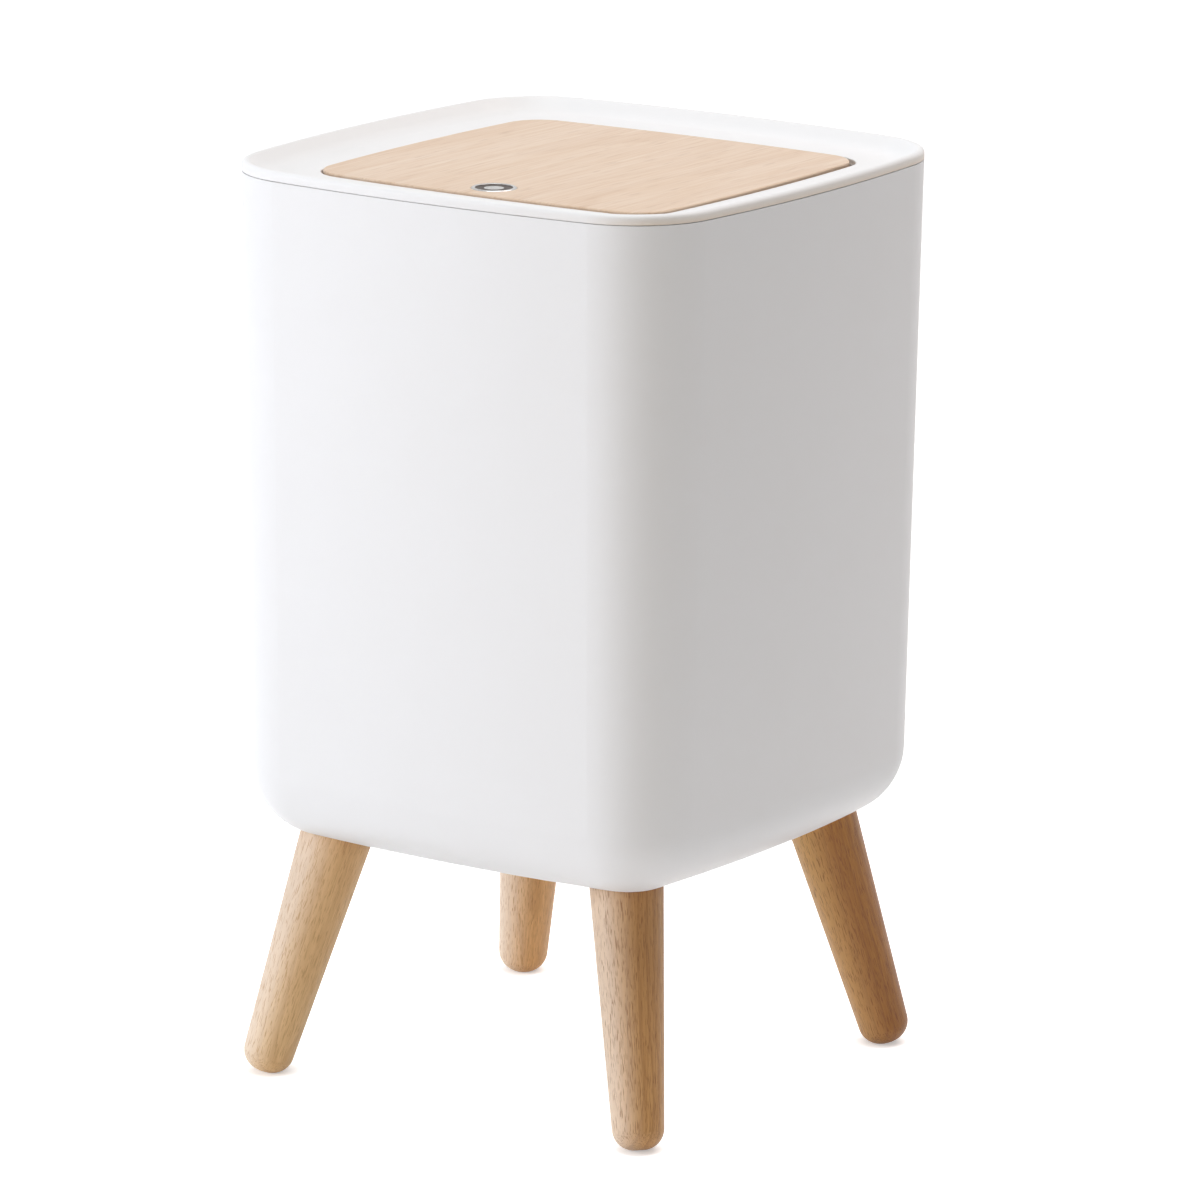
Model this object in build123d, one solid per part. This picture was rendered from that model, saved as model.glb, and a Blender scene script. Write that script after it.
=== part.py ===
from build123d import *
import math
import os

# A square push-to-open bathroom bin that stands on four splayed wooden legs.
# Millimetres, +Z up, the front looks along -Y, and the origin lies on the floor under the middle.
# The white cover lifts off the bucket. The wooden lid sits in its dish and swings up at the back.

os.makedirs("parts", exist_ok=True)

# Overall form
overall_height = 410.0
rim_width = 245.0
side_bow_radius = 780.0
corner_radius = 41.0
wall_draft = 0.9
underside_height = 109.0
bottom_round = 32.0

# Bucket
bucket_wall = 2.6
bucket_floor = 3.0

# Legs: each axis crosses the underside at an even inset from the rim, and the floor further out
leg_inset = 45.5
leg_splay = 23.8
leg_top_radius = 16.1
leg_foot_radius = 10.9
leg_tip_round = 8.8
leg_flat_depth = 0.5
leg_play = 0.3
leg_seat_margin = 0.8
socket_wall = 2.4

# Leg fixings
stud_radius = 4.0
stud_in_leg = 34.0
insert_radius = 6.0
insert_length = 12.0
insert_boss_wall = 2.4
insert_boss_roof = 2.0
press_play = 0.05

# Cover
bead_height = 4.2
seam_gap = 0.4
bead_round = 2.0
bead_inner_round = 1.6
bead_crest = 3.2
bead_slope_run = 6.2
dish_depth = 6.4
dish_round = 8.0
cover_wall = 2.4
seat_inset = 1.3
skirt_play = 0.6
skirt_wall = 2.0
skirt_depth = 15.0
lip_round = 0.5

# Lid board: its margins inside the rim, its play in the dish, and its wider gap in the throat below
lid_side_margin = 31.0
lid_front_margin = 36.9
lid_back_margin = 33.1
lid_bow_radius = 1000.0
lid_corner_radius = 18.0
dish_front_gap = 1.2
dish_side_gap = 1.6
dish_side_shift = 8.0
lid_gap = 2.8
lid_proud = 1.0
board_thickness = 5.5
board_edge_round = 0.8

# Press mark let into the board
mark_radius = 10.0
mark_thickness = 1.3
mark_depth = 0.9
mark_from_edge = 16.6
mark_ring_radius = 7.0
mark_ring_width = 1.2
mark_ring_depth = 0.4
mark_play = 0.1

# Lid carrier under the board
carrier_inset = 4.0
carrier_thickness = 2.2
carrier_rib_width = 1.6
carrier_rib_height = 3.4
carrier_rim_height = 2.0
carrier_rib_from_hub = 18.0
carrier_cross_front = -34.0
carrier_cross_back = 30.0

# Hinge
hinge_setback = 21.0
hub_radius = 4.4
hub_length = 22.8
hub_end_room = 7.3
pin_radius = 2.5
running_play = 0.05
pin_head_radius = 4.4
pin_head_length = 1.6
pin_head_round = 0.6
pin_boss_wall = 3.4
pin_clip_width = 0.8
pin_clip_radius = 4.0
pin_clip_gap = 0.4
pin_tail = 1.6
clip_notch_play = 1.2

# Lid spring
spring_wire_radius = 0.4
spring_mean_radius = 3.6
spring_pitch = 1.25
spring_turns = 4.25
spring_end_gap = 0.3
spring_lid_leg = 12.0
spring_frame_leg = 3.0

# Damper
damper_radius = 5.0
damper_wall = 0.8
damper_nose = 1.6
damper_boss_wall = 1.4
damper_cap_length = 1.5
damper_cap_overlap = 1.0
rotor_radius = 3.0
rotor_flat = 2.2
rotor_grease_gap = 0.2
rotor_end_gap = 0.4
rotor_reach = 17.0

# Lid frame under the cover
throat_wall = 2.0
throat_depth = 25.0
flange_edge = 3.0
flange_thickness = 2.0
flange_drop = 6.2
boss_proud = 0.6
frame_screw_from_end = 35.5
frame_screw_from_side = 39.5
frame_screw_inset = 5.6
frame_boss_radius = 3.4

# Screws
screw_radius = 1.4
screw_head_radius = 2.8
screw_head_height = 1.6
screw_play = 0.05
screw_slot_width = 0.7
screw_slot_length = 3.4
screw_slot_depth = 0.6
screw_head_round = 0.45
screw_in_board = 3.2
tip_gap = 0.5
carrier_screw_inset = 27.5
carrier_screw_front = 27.6
carrier_screw_back = 20.4

# Latch
latch_inset = 15.4
latch_width = 28.0
latch_length = 20.0
latch_height = 12.6
latch_rise = 3.6
latch_stroke = 2.8
latch_play = 0.2
latch_roof = 2.0
latch_screw_spread = 10.0
bracket_wall = 2.2
bracket_floor = 2.0
bracket_lip = 2.0
edge_chamfer = 0.5
plunger_radius = 3.5
plunger_shoulder_radius = 5.0
plunger_shoulder = 2.0
plunger_bore_play = 0.3
plunger_tail_radius = 2.6
plunger_tail_gap = 1.0
magnet_radius = 2.7
magnet_thickness = 2.0
strike_thickness = 1.0
strike_width = 26.0
strike_length = 10.0
strike_corner = 2.5
strike_gap = 0.2
strike_pad_height = 2.4
strike_pad_margin = 1.5
strike_screw_spread = 9.5
strike_head_height = 1.0
latch_spring_radius = 3.8
latch_spring_turns = 5

# Levels that follow
rim_top = overall_height
seam_top = rim_top - bead_height
bucket_rim = seam_top - seam_gap
dish_top = rim_top - dish_depth
dish_underside = dish_top - cover_wall
lid_top = dish_top + lid_proud
board_underside = lid_top - board_thickness
carrier_underside = board_underside - carrier_thickness
throat_bottom = dish_underside - throat_depth
flange_top = dish_underside - flange_drop
flange_bottom = flange_top - flange_thickness

# Places that follow
leg_top_spread = rim_width / 2 - leg_inset
leg_foot_spread = leg_top_spread + leg_splay
lid_width = rim_width - 2 * lid_side_margin
lid_length = rim_width - lid_front_margin - lid_back_margin
lid_front = lid_front_margin - rim_width / 2
lid_back = rim_width / 2 - lid_back_margin
lid_setback = (lid_front + lid_back) / 2
flange_width = frame_screw_inset + frame_boss_radius + flange_edge
hinge_y = lid_back - hinge_setback
hinge_z = board_underside - hub_radius
strike_seat = carrier_underside - strike_pad_height
strike_underside = strike_seat - strike_thickness
latch_y = lid_front - lid_gap + latch_inset
latch_top = strike_underside - strike_gap - latch_rise
latch_bottom = latch_top - latch_height
plunger_top = strike_underside - strike_gap
mark_y = lid_front + mark_from_edge

corners = {
    "front_left": (-1, -1),
    "front_right": (1, -1),
    "back_left": (-1, 1),
    "back_right": (1, 1),
}


# Outlines and plain solids
def pillow(half_x, half_y, bow_radius, round_radius, middle_y=0.0, side_shift=0.0):
    """A rectangle with sides that bow out on a large radius and with round corners."""
    side_y = middle_y + side_shift
    right = Pos(half_x - bow_radius, side_y) * Rot(0, 0, 180) * Circle(bow_radius)
    left = Pos(bow_radius - half_x, side_y) * Circle(bow_radius)
    back = Pos(0, middle_y + half_y - bow_radius) * Circle(bow_radius)
    front = Pos(0, middle_y - half_y + bow_radius) * Circle(bow_radius)
    outline = right & left & back & front
    return fillet(outline.vertices(), round_radius)


def rim_outline(inset):
    """The rim's outline, drawn in by an even margin."""
    half = rim_width / 2 - inset
    return pillow(half, half, side_bow_radius - inset, corner_radius - inset)


def lid_outline(growth):
    """The lid's outline, let out by an even margin."""
    return pillow(
        lid_width / 2 + growth,
        lid_length / 2 + growth,
        lid_bow_radius + growth,
        lid_corner_radius + growth,
        lid_setback,
    )


def dish_hole(growth):
    """The hole in the dish, let out evenly: close to the lid in front, wider where the back swings down."""
    return pillow(
        lid_width / 2 + dish_side_gap + growth,
        (lid_length + dish_front_gap + lid_gap) / 2 + growth,
        lid_bow_radius + growth,
        lid_corner_radius + dish_front_gap + growth,
        lid_setback + (lid_gap - dish_front_gap) / 2,
        dish_side_shift,
    )


def prism(outline, bottom, top):
    """The outline raised from one level to another."""
    return extrude(Pos(0, 0, bottom) * outline, amount=top - bottom, dir=(0, 0, 1))


def narrowing(outline, top, depth, angle):
    """The outline carried down from a level, drawn in evenly by an angle in degrees."""
    return extrude(Pos(0, 0, top) * outline, amount=depth, dir=(0, 0, -1), taper=angle)


def block(x_range, y_range, z_range):
    """A box between three pairs of limits."""
    size = [high - low for low, high in (x_range, y_range, z_range)]
    middle = [(high + low) / 2 for low, high in (x_range, y_range, z_range)]
    return Pos(*middle) * Box(*size)


def upright(radius, bottom, top, x=0.0, y=0.0):
    """A round post along Z."""
    return Pos(x, y, (bottom + top) / 2) * Cylinder(radius, top - bottom)


def crosswise(radius, start, end):
    """A round bar along the hinge line, from one X to another."""
    middle = Pos((start + end) / 2, hinge_y, hinge_z)
    return middle * Rot(0, 90, 0) * Cylinder(radius, abs(end - start))


def lowest_edges(solid):
    """The edges at the solid's lowest level."""
    return solid.edges().group_by(Axis.Z)[0]


def edges_at(solid, level, outline=None, inside=True):
    """The edges that lie flat at one level, and those inside or outside an outline if one is given."""
    flat = []
    for edge in solid.edges():
        box = edge.bounding_box()
        if abs(box.min.Z - level) < 1e-4 and abs(box.max.Z - level) < 1e-4:
            flat.append(edge)
    if outline is None:
        return flat
    region = prism(outline, level - 1, level + 1)
    return [edge for edge in flat if region.is_inside(edge @ 0.5) == inside]


def half_width_at(y, growth):
    """Half the width of the lid's outline, let out by a margin, where its bowed side passes a Y."""
    bow = lid_bow_radius + growth
    return lid_width / 2 + growth - bow + math.sqrt(bow**2 - (y - lid_setback) ** 2)


# Screws
def pan_screw(head_height, grip):
    """A pan-head screw that points up, with its head's seat at the origin and a cross recess."""
    head = Pos(0, 0, -head_height / 2) * Cylinder(screw_head_radius, head_height)
    head = fillet(lowest_edges(head), screw_head_round)
    shank = Pos(0, 0, grip / 2) * Cylinder(screw_radius, grip)
    slot_z = -head_height + screw_slot_depth / 2
    slot = Pos(0, 0, slot_z) * Box(screw_slot_length, screw_slot_width, screw_slot_depth)
    return head + shank - slot - Rot(0, 0, 90) * slot


# Springs
def helix_place(mean_radius, pitch, turn):
    """The point and the direction of a helix along Z after so many turns."""
    angle = 2 * math.pi * turn
    point = Vector(mean_radius * math.cos(angle), mean_radius * math.sin(angle), pitch * turn)
    run = 2 * math.pi * mean_radius
    direction = Vector(-run * math.sin(angle), run * math.cos(angle), pitch).normalized()
    return point, direction


def biarc(start, start_direction, end, end_direction):
    """Two arcs that join two points and leave and arrive along the given directions."""
    chord = end - start
    along = chord.dot(start_direction + end_direction)
    spread = 2 * (1 - start_direction.dot(end_direction))
    reach = (math.sqrt(along**2 + spread * chord.dot(chord)) - along) / spread
    first_corner = start + start_direction * reach
    second_corner = end - end_direction * reach
    joint = (first_corner + second_corner) * 0.5
    joint_direction = (second_corner - first_corner).normalized()
    first = Edge.make_tangent_arc(start, start_direction, joint)
    second = Edge.make_tangent_arc(joint, joint_direction, end)
    return [first, second]


def coil_edges(mean_radius, pitch, turns):
    """A helix along Z as biarcs of a quarter turn each."""
    steps = round(turns * 4)
    places = [helix_place(mean_radius, pitch, turns * step / steps) for step in range(steps + 1)]
    edges = []
    for (start, start_direction), (end, end_direction) in zip(places, places[1:]):
        edges += biarc(start, start_direction, end, end_direction)
    return edges


def spring_solid(edges, wire_radius):
    """Round wire along a path of straight runs and arcs."""
    path = Wire(edges)
    section = Plane(origin=path @ 0, z_dir=path % 0) * Circle(wire_radius)
    return sweep(section, path=path)


def least_gap(mean_radius, pitch, turns, wire_radius):
    """The least distance between the wire and its own next turns, measured on points."""
    count = round(turns * 24)
    points = [helix_place(mean_radius, pitch, turns * step / count)[0] for step in range(count + 1)]
    apart = [
        (points[first] - points[second]).length
        for first in range(count + 1)
        for second in range(first + 12, count + 1)
    ]
    return min(apart) - 2 * wire_radius


# Bucket
def bucket_outside():
    """The bucket's outer form: drafted walls and a large round along the bottom."""
    depth = bucket_rim - underside_height
    return fillet(lowest_edges(narrowing(rim_outline(0), bucket_rim, depth, wall_draft)), bottom_round)


def bucket_inside():
    """The hollow of the bucket, one wall inside its outer form."""
    depth = bucket_rim - underside_height - bucket_floor
    hollow = narrowing(rim_outline(bucket_wall), bucket_rim, depth, wall_draft)
    return fillet(lowest_edges(hollow), bottom_round - bucket_wall)


# Legs
leg_run = (leg_foot_spread - leg_top_spread) * math.sqrt(2)
leg_tilt = math.atan2(leg_run, underside_height)
leg_axis_length = math.hypot(leg_run, underside_height)
leg_taper = (leg_top_radius - leg_foot_radius) / leg_axis_length
leg_seat = leg_top_radius * math.tan(leg_tilt) + leg_seat_margin
leg_seat_radius = leg_top_radius + leg_taper * leg_seat
tip_centre_drop = (leg_foot_radius - leg_tip_round) * math.sin(leg_tilt)
tip_round_above_floor = leg_tip_round + tip_centre_drop - leg_flat_depth
leg_end = leg_axis_length - tip_round_above_floor / math.cos(leg_tilt) + leg_tip_round


def leg_plane(side_x, side_y):
    """The plane across one leg where its axis meets the bucket's underside, facing up the leg."""
    inward = leg_top_spread - leg_foot_spread
    origin = (side_x * leg_top_spread, side_y * leg_top_spread, underside_height)
    return Plane(
        origin=origin,
        x_dir=(side_y, -side_x, 0),
        z_dir=(side_x * inward, side_y * inward, underside_height),
    )


def along_leg(plane, radius, bottom, top, bottom_radius=None):
    """A round piece on a leg's axis between two distances from the underside."""
    height = top - bottom
    low_radius = radius if bottom_radius is None else bottom_radius
    if low_radius == radius:
        body = Cylinder(radius, height)
    else:
        body = Cone(low_radius, radius, height)
    return plane.location * Pos(0, 0, (bottom + top) / 2) * body


def leg(plane):
    """A tapered wooden leg with a domed tip that is cut level with the floor."""
    blank = Pos(0, 0, (leg_seat - leg_end) / 2) * Cone(leg_foot_radius, leg_seat_radius, leg_end + leg_seat)
    blank = plane.location * fillet(lowest_edges(blank), leg_tip_round)
    blank -= along_leg(plane, stud_radius + press_play, leg_seat - stud_in_leg - tip_gap, leg_seat)
    reach = rim_width
    return blank & block((-reach, reach), (-reach, reach), (0, overall_height))


def leg_socket(plane):
    """The thick wall round the leg's seat and round the threaded insert above it."""
    collar_radius = leg_seat_radius + leg_play + socket_wall
    collar = along_leg(plane, collar_radius, -leg_seat_radius, leg_seat + socket_wall)
    boss_radius = insert_radius + insert_boss_wall
    boss_top = leg_seat + insert_length + insert_boss_roof
    return collar + along_leg(plane, boss_radius, leg_seat, boss_top)


def leg_pocket(plane):
    """The room for the leg's top and for the insert, open below."""
    below = leg_seat_radius
    low_radius = leg_top_radius - leg_taper * below + leg_play
    pocket = along_leg(plane, leg_seat_radius + leg_play, -below, leg_seat, low_radius)
    return pocket + along_leg(plane, insert_radius + press_play, leg_seat, leg_seat + insert_length)


def leg_insert(plane):
    """A threaded brass insert in the socket's roof."""
    sleeve = along_leg(plane, insert_radius, leg_seat, leg_seat + insert_length)
    return sleeve - along_leg(plane, stud_radius + press_play, leg_seat, leg_seat + insert_length)


def leg_stud(plane):
    """A steel stud, half in the leg and half in the insert."""
    return along_leg(plane, stud_radius, leg_seat - stud_in_leg, leg_seat + insert_length - tip_gap)


leg_planes = {name: leg_plane(*sides) for name, sides in corners.items()}


def bucket():
    """The one-piece bucket with four slanted leg sockets in its floor."""
    outside = bucket_outside()
    shell = outside - bucket_inside()
    for plane in leg_planes.values():
        shell += leg_socket(plane) & outside
    for plane in leg_planes.values():
        shell -= leg_pocket(plane)
    return shell


# Cover
screw_line_x = lid_width / 2 + lid_gap + frame_screw_inset
screw_line_y = lid_length / 2 + lid_gap + frame_screw_inset
screw_spread_x = lid_width / 2 - frame_screw_from_side
screw_spread_y = lid_length / 2 - frame_screw_from_end


def frame_screw_places():
    """Two screws beside each side of the dish opening."""
    places = []
    for side in (-1, 1):
        for along in (-1, 1):
            places.append((along * screw_spread_x, lid_setback + side * screw_line_y))
            places.append((side * screw_line_x, lid_setback + along * screw_spread_y))
    return places


def cover_ring():
    """The white cover: rim bead, sloping inner side, dish, skirt and the screw bosses below."""
    skirt_inset = bucket_wall + skirt_play
    skirt_bottom = bucket_rim - skirt_depth
    ring = prism(rim_outline(0), seam_top, rim_top)
    ring += prism(rim_outline(seat_inset), bucket_rim, seam_top)
    ring += prism(rim_outline(skirt_inset), skirt_bottom, bucket_rim)
    ring -= prism(rim_outline(skirt_inset + skirt_wall), skirt_bottom, dish_underside)
    slope = math.degrees(math.atan2(bead_slope_run, dish_depth))
    ring -= narrowing(rim_outline(bead_crest), rim_top, dish_depth, slope)
    ring = fillet(edges_at(ring, dish_top), dish_round)
    crest_line = rim_outline(bead_crest / 2)
    ring = fillet(edges_at(ring, rim_top, crest_line, inside=False), bead_round)
    ring = fillet(edges_at(ring, rim_top, crest_line), bead_inner_round)
    ring -= prism(dish_hole(0), dish_underside, dish_top)
    ring = fillet(edges_at(ring, dish_top, dish_hole(lip_round)), lip_round)
    for x, y in frame_screw_places():
        ring += upright(frame_boss_radius, flange_top, dish_underside, x, y)
    bore_top = dish_top - cover_wall / 2
    for x, y in frame_screw_places():
        ring -= upright(screw_radius + screw_play, flange_top, bore_top, x, y)
    return ring


# Lid frame
throat_face = half_width_at(hinge_y, lid_gap)
boss_end = half_width_at(hinge_y, lid_gap + flange_width) + boss_proud
hub_outer = throat_face - hub_end_room
hub_inner = hub_outer - hub_length


def latch_room(growth, bottom, top):
    """The latch housing's footprint, let out by a margin."""
    half_x = latch_width / 2 + growth
    half_y = latch_length / 2 + growth
    return block((-half_x, half_x), (latch_y - half_y, latch_y + half_y), (bottom, top))


def lid_frame():
    """The frame screwed under the dish: throat, flange, hinge bosses and the latch bracket."""
    frame = prism(lid_outline(lid_gap + throat_wall), throat_bottom, dish_underside)
    frame += prism(lid_outline(lid_gap + flange_width), flange_bottom, flange_top)
    frame += crosswise(pin_radius + pin_boss_wall, 0, boss_end)
    frame += crosswise(damper_radius + damper_boss_wall, -boss_end, 0)
    frame -= prism(lid_outline(lid_gap), throat_bottom, dish_underside)
    bracket_back = latch_y + latch_length / 2 + latch_play + bracket_wall
    half_bracket = latch_width / 2 + latch_play + bracket_wall
    bracket_z = (latch_bottom - bracket_floor, latch_top - bracket_lip)
    bracket_front = lid_front - lid_gap - throat_wall / 2
    bracket = block((-half_bracket, half_bracket), (bracket_front, bracket_back), bracket_z)
    frame += bracket - latch_room(latch_play, latch_bottom, latch_top)
    frame -= crosswise(pin_radius + running_play, 0, boss_end)
    frame -= crosswise(damper_radius + running_play, -boss_end, 0)
    for x, y in frame_screw_places():
        frame -= upright(screw_radius + screw_play, flange_bottom, flange_top, x, y)
    for x in (-latch_screw_spread, latch_screw_spread):
        frame -= upright(screw_radius + screw_play, latch_bottom - bracket_floor, latch_bottom, x, latch_y)
    return frame


def frame_screws():
    """The screws that hold the lid frame to the cover's bosses."""
    grip = flange_thickness + flange_drop + cover_wall / 2 - tip_gap
    screw = pan_screw(screw_head_height, grip)
    return Compound(children=[Pos(x, y, flange_bottom) * screw for x, y in frame_screw_places()])


# Latch
def latch_housing():
    """The latch's body, open below, with a bore in its roof for the plunger."""
    cavity_radius = plunger_shoulder_radius + plunger_bore_play
    housing = latch_room(0, latch_bottom, latch_top)
    housing -= upright(cavity_radius, latch_bottom, latch_top - latch_roof, 0, latch_y)
    housing -= upright(plunger_radius + running_play, latch_top - latch_roof, latch_top, 0, latch_y)
    for x in (-latch_screw_spread, latch_screw_spread):
        housing -= upright(screw_radius + screw_play, latch_bottom, latch_top - latch_roof, x, latch_y)
    top_edges = housing.edges().group_by(Axis.Z)[-1]
    long_edges = [edge for edge in top_edges if edge.length > latch_length - 1]
    return chamfer(long_edges, edge_chamfer)


def latch_screws():
    """Two screws up through the bracket's floor into the housing."""
    grip = bracket_floor + latch_height - latch_roof - tip_gap
    screw = pan_screw(screw_head_height, grip)
    seat = latch_bottom - bracket_floor
    sides = (-latch_screw_spread, latch_screw_spread)
    return Compound(children=[Pos(x, latch_y, seat) * screw for x in sides])


def latch_plunger():
    """The sprung plunger: stem with a seat for the magnet, shoulder and spring guide."""
    shoulder_top = latch_top - latch_roof
    shoulder_bottom = shoulder_top - plunger_shoulder
    tail_bottom = latch_bottom + latch_stroke + plunger_tail_gap
    plunger = upright(plunger_radius, shoulder_bottom, plunger_top, 0, latch_y)
    plunger += upright(plunger_shoulder_radius, shoulder_bottom, shoulder_top, 0, latch_y)
    plunger += upright(plunger_tail_radius, tail_bottom, shoulder_bottom, 0, latch_y)
    seat = plunger_top - magnet_thickness
    return plunger - upright(magnet_radius + press_play, seat, plunger_top, 0, latch_y)


def latch_magnet():
    """The disc magnet in the plunger's tip."""
    return upright(magnet_radius, plunger_top - magnet_thickness, plunger_top, 0, latch_y)


def latch_spring():
    """The compression spring between the bracket's floor and the plunger's shoulder."""
    room = latch_height - latch_roof - plunger_shoulder
    pitch = (room - 2 * spring_wire_radius - 2 * press_play) / latch_spring_turns
    coil = spring_solid(coil_edges(latch_spring_radius, pitch, latch_spring_turns), spring_wire_radius)
    gap = least_gap(latch_spring_radius, pitch, latch_spring_turns, spring_wire_radius)
    print("latch_spring least gap", round(gap, 3))
    return Pos(0, latch_y, latch_bottom + spring_wire_radius + press_play) * coil


# Hinge
def hinge_pin():
    """The headed steel pin on the right, from outside the boss into the lid's hub."""
    tail = hub_inner - pin_clip_gap - pin_clip_width - pin_tail
    pin = crosswise(pin_radius, tail, boss_end)
    head = crosswise(pin_head_radius, boss_end, boss_end + pin_head_length)
    head = fillet(head.edges().group_by(Axis.X)[-1], pin_head_round)
    return pin + head


def pin_clip():
    """The push-on ring that keeps the pin in the hub."""
    clip_end = hub_inner - pin_clip_gap
    ring = crosswise(pin_clip_radius, clip_end - pin_clip_width, clip_end)
    return ring - crosswise(pin_radius, clip_end - pin_clip_width, clip_end)


def lid_spring():
    """The torsion spring round the pin, with a long leg under the board and a short one on the frame."""
    coil = coil_edges(spring_mean_radius, spring_pitch, spring_turns)
    start, start_direction = helix_place(spring_mean_radius, spring_pitch, 0)
    end, end_direction = helix_place(spring_mean_radius, spring_pitch, spring_turns)
    first_leg = Edge.make_line(start - start_direction * spring_lid_leg, start)
    last_leg = Edge.make_line(end, end + end_direction * spring_frame_leg)
    solid = spring_solid([first_leg] + coil + [last_leg], spring_wire_radius)
    gap = least_gap(spring_mean_radius, spring_pitch, spring_turns, spring_wire_radius)
    print("lid_spring least gap", round(gap, 3))
    start_x = hub_outer + spring_end_gap + spring_wire_radius
    seat = Plane(origin=(start_x, hinge_y, hinge_z), x_dir=(0, 0, 1), z_dir=(1, 0, 0))
    return seat.location * solid


def d_bar(radius, flat, start, end):
    """A round bar along the hinge line with a flat on its underside."""
    bar = crosswise(radius, start, end)
    low = (hinge_z - 2 * radius, hinge_z - flat)
    return bar - block((min(start, end), max(start, end)), (hinge_y - radius, hinge_y + radius), low)


# Damper
def damper_body():
    """The damper's cup in the left boss, open outwards."""
    cavity_radius = damper_radius - damper_wall
    body = crosswise(damper_radius, -boss_end, -throat_face)
    body -= crosswise(cavity_radius, -boss_end, -throat_face - damper_nose)
    return body - crosswise(rotor_radius + running_play, -throat_face - damper_nose, -throat_face)


def damper_cap():
    """The cap that closes the damper and rests on the boss's outer face."""
    cap_radius = damper_radius + damper_cap_overlap
    cap = crosswise(cap_radius, -boss_end - damper_cap_length, -boss_end)
    return chamfer(cap.edges().group_by(Axis.X)[0], edge_chamfer)


def damper_rotor():
    """The damper's drum in its grease, with a flatted shaft that turns with the lid."""
    drum_radius = damper_radius - damper_wall - rotor_grease_gap
    drum_start = -boss_end + rotor_end_gap
    drum_end = -throat_face - damper_nose - rotor_end_gap
    rotor = crosswise(drum_radius, drum_start, drum_end)
    rotor += crosswise(rotor_radius, drum_end, -hub_outer)
    return rotor + d_bar(rotor_radius, rotor_flat, -hub_outer, -hub_outer + rotor_reach)


# Lid
def carrier_screw_places():
    """Three screws down each side of the carrier."""
    line_x = lid_width / 2 - carrier_screw_inset
    first = lid_front + carrier_screw_front
    last = hinge_y - carrier_screw_back
    return [(side * line_x, y) for side in (-1, 1) for y in (first, (first + last) / 2, last)]


strike_screw_sides = (-strike_screw_spread, strike_screw_spread)


def lid_board():
    """The wooden board with pilot holes below and a shallow seat for the press mark."""
    board = prism(lid_outline(0), board_underside, lid_top)
    board = fillet(edges_at(board, lid_top), board_edge_round)
    board -= upright(mark_radius + mark_play, lid_top - mark_depth, lid_top, 0, mark_y)
    hole_top = board_underside + screw_in_board + tip_gap
    places = carrier_screw_places() + [(x, latch_y) for x in strike_screw_sides]
    for x, y in places:
        board -= upright(screw_radius + screw_play, board_underside, hole_top, x, y)
    return board


def press_mark():
    """A plain metal disc with one round groove, where the lid is pressed."""
    bottom = lid_top - mark_depth
    top = bottom + mark_thickness
    disc = upright(mark_radius, bottom, top, 0, mark_y)
    disc = fillet(disc.edges().group_by(Axis.Z)[-1], mark_ring_depth)
    groove = upright(mark_ring_radius + mark_ring_width / 2, top - mark_ring_depth, top, 0, mark_y)
    groove -= upright(mark_ring_radius - mark_ring_width / 2, top - mark_ring_depth, top, 0, mark_y)
    return disc - groove


def lid_carrier():
    """The plastic plate under the board with its rim, ribs, strike pad and the two hinge hubs."""
    rim_bottom = carrier_underside - carrier_rim_height
    rib_bottom = carrier_underside - carrier_rib_height
    carrier = prism(lid_outline(-carrier_inset), rim_bottom, board_underside)
    carrier -= prism(lid_outline(-carrier_inset - carrier_rib_width), rim_bottom, carrier_underside)
    half_rib = carrier_rib_width / 2
    rib_z = (rib_bottom, carrier_underside)
    rib_front = latch_y + latch_length / 2 + bracket_wall + carrier_rib_width
    rib_back = hinge_y - hub_radius
    rib_spread = hub_inner - carrier_rib_from_hub
    for x in (-rib_spread, 0, rib_spread):
        carrier += block((x - half_rib, x + half_rib), (rib_front, rib_back), rib_z)
    for y in (carrier_cross_front, carrier_cross_back):
        carrier += block((-rib_spread, rib_spread), (y - half_rib, y + half_rib), rib_z)
    notch_inner = hub_inner - pin_clip_gap - pin_clip_width - pin_tail - clip_notch_play
    notch_y = (hinge_y - hub_radius - clip_notch_play, hinge_y + hub_radius + clip_notch_play)
    carrier -= block((notch_inner, hub_inner), notch_y, (rib_bottom, board_underside))
    beyond = lid_width
    for low, high in ((hub_outer, beyond), (-beyond, -hub_outer)):
        carrier -= block((low, high), notch_y, (rib_bottom, board_underside))
    hub_y = (hinge_y - hub_radius, hinge_y + hub_radius)
    for start, end in ((hub_inner, hub_outer), (-hub_outer, -hub_inner)):
        carrier += crosswise(hub_radius, start, end)
        carrier += block((start, end), hub_y, (hinge_z, board_underside))
    pad_x = strike_width / 2 + strike_pad_margin
    pad_y = strike_length / 2 + strike_pad_margin
    carrier += block((-pad_x, pad_x), (latch_y - pad_y, latch_y + pad_y), (strike_seat, carrier_underside))
    carrier -= crosswise(pin_radius + running_play, hub_inner, hub_outer)
    blind_end = -hub_outer + rotor_reach + rotor_end_gap
    carrier -= d_bar(rotor_radius + running_play, rotor_flat + running_play, -hub_outer, blind_end)
    places = carrier_screw_places() + [(x, latch_y) for x in strike_screw_sides]
    for x, y in places:
        carrier -= upright(screw_radius + screw_play, strike_seat, board_underside, x, y)
    return carrier


def carrier_screws():
    """The screws up through the carrier into the board."""
    screw = pan_screw(screw_head_height, carrier_thickness + screw_in_board)
    return Compound(children=[Pos(x, y, carrier_underside) * screw for x, y in carrier_screw_places()])


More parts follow.
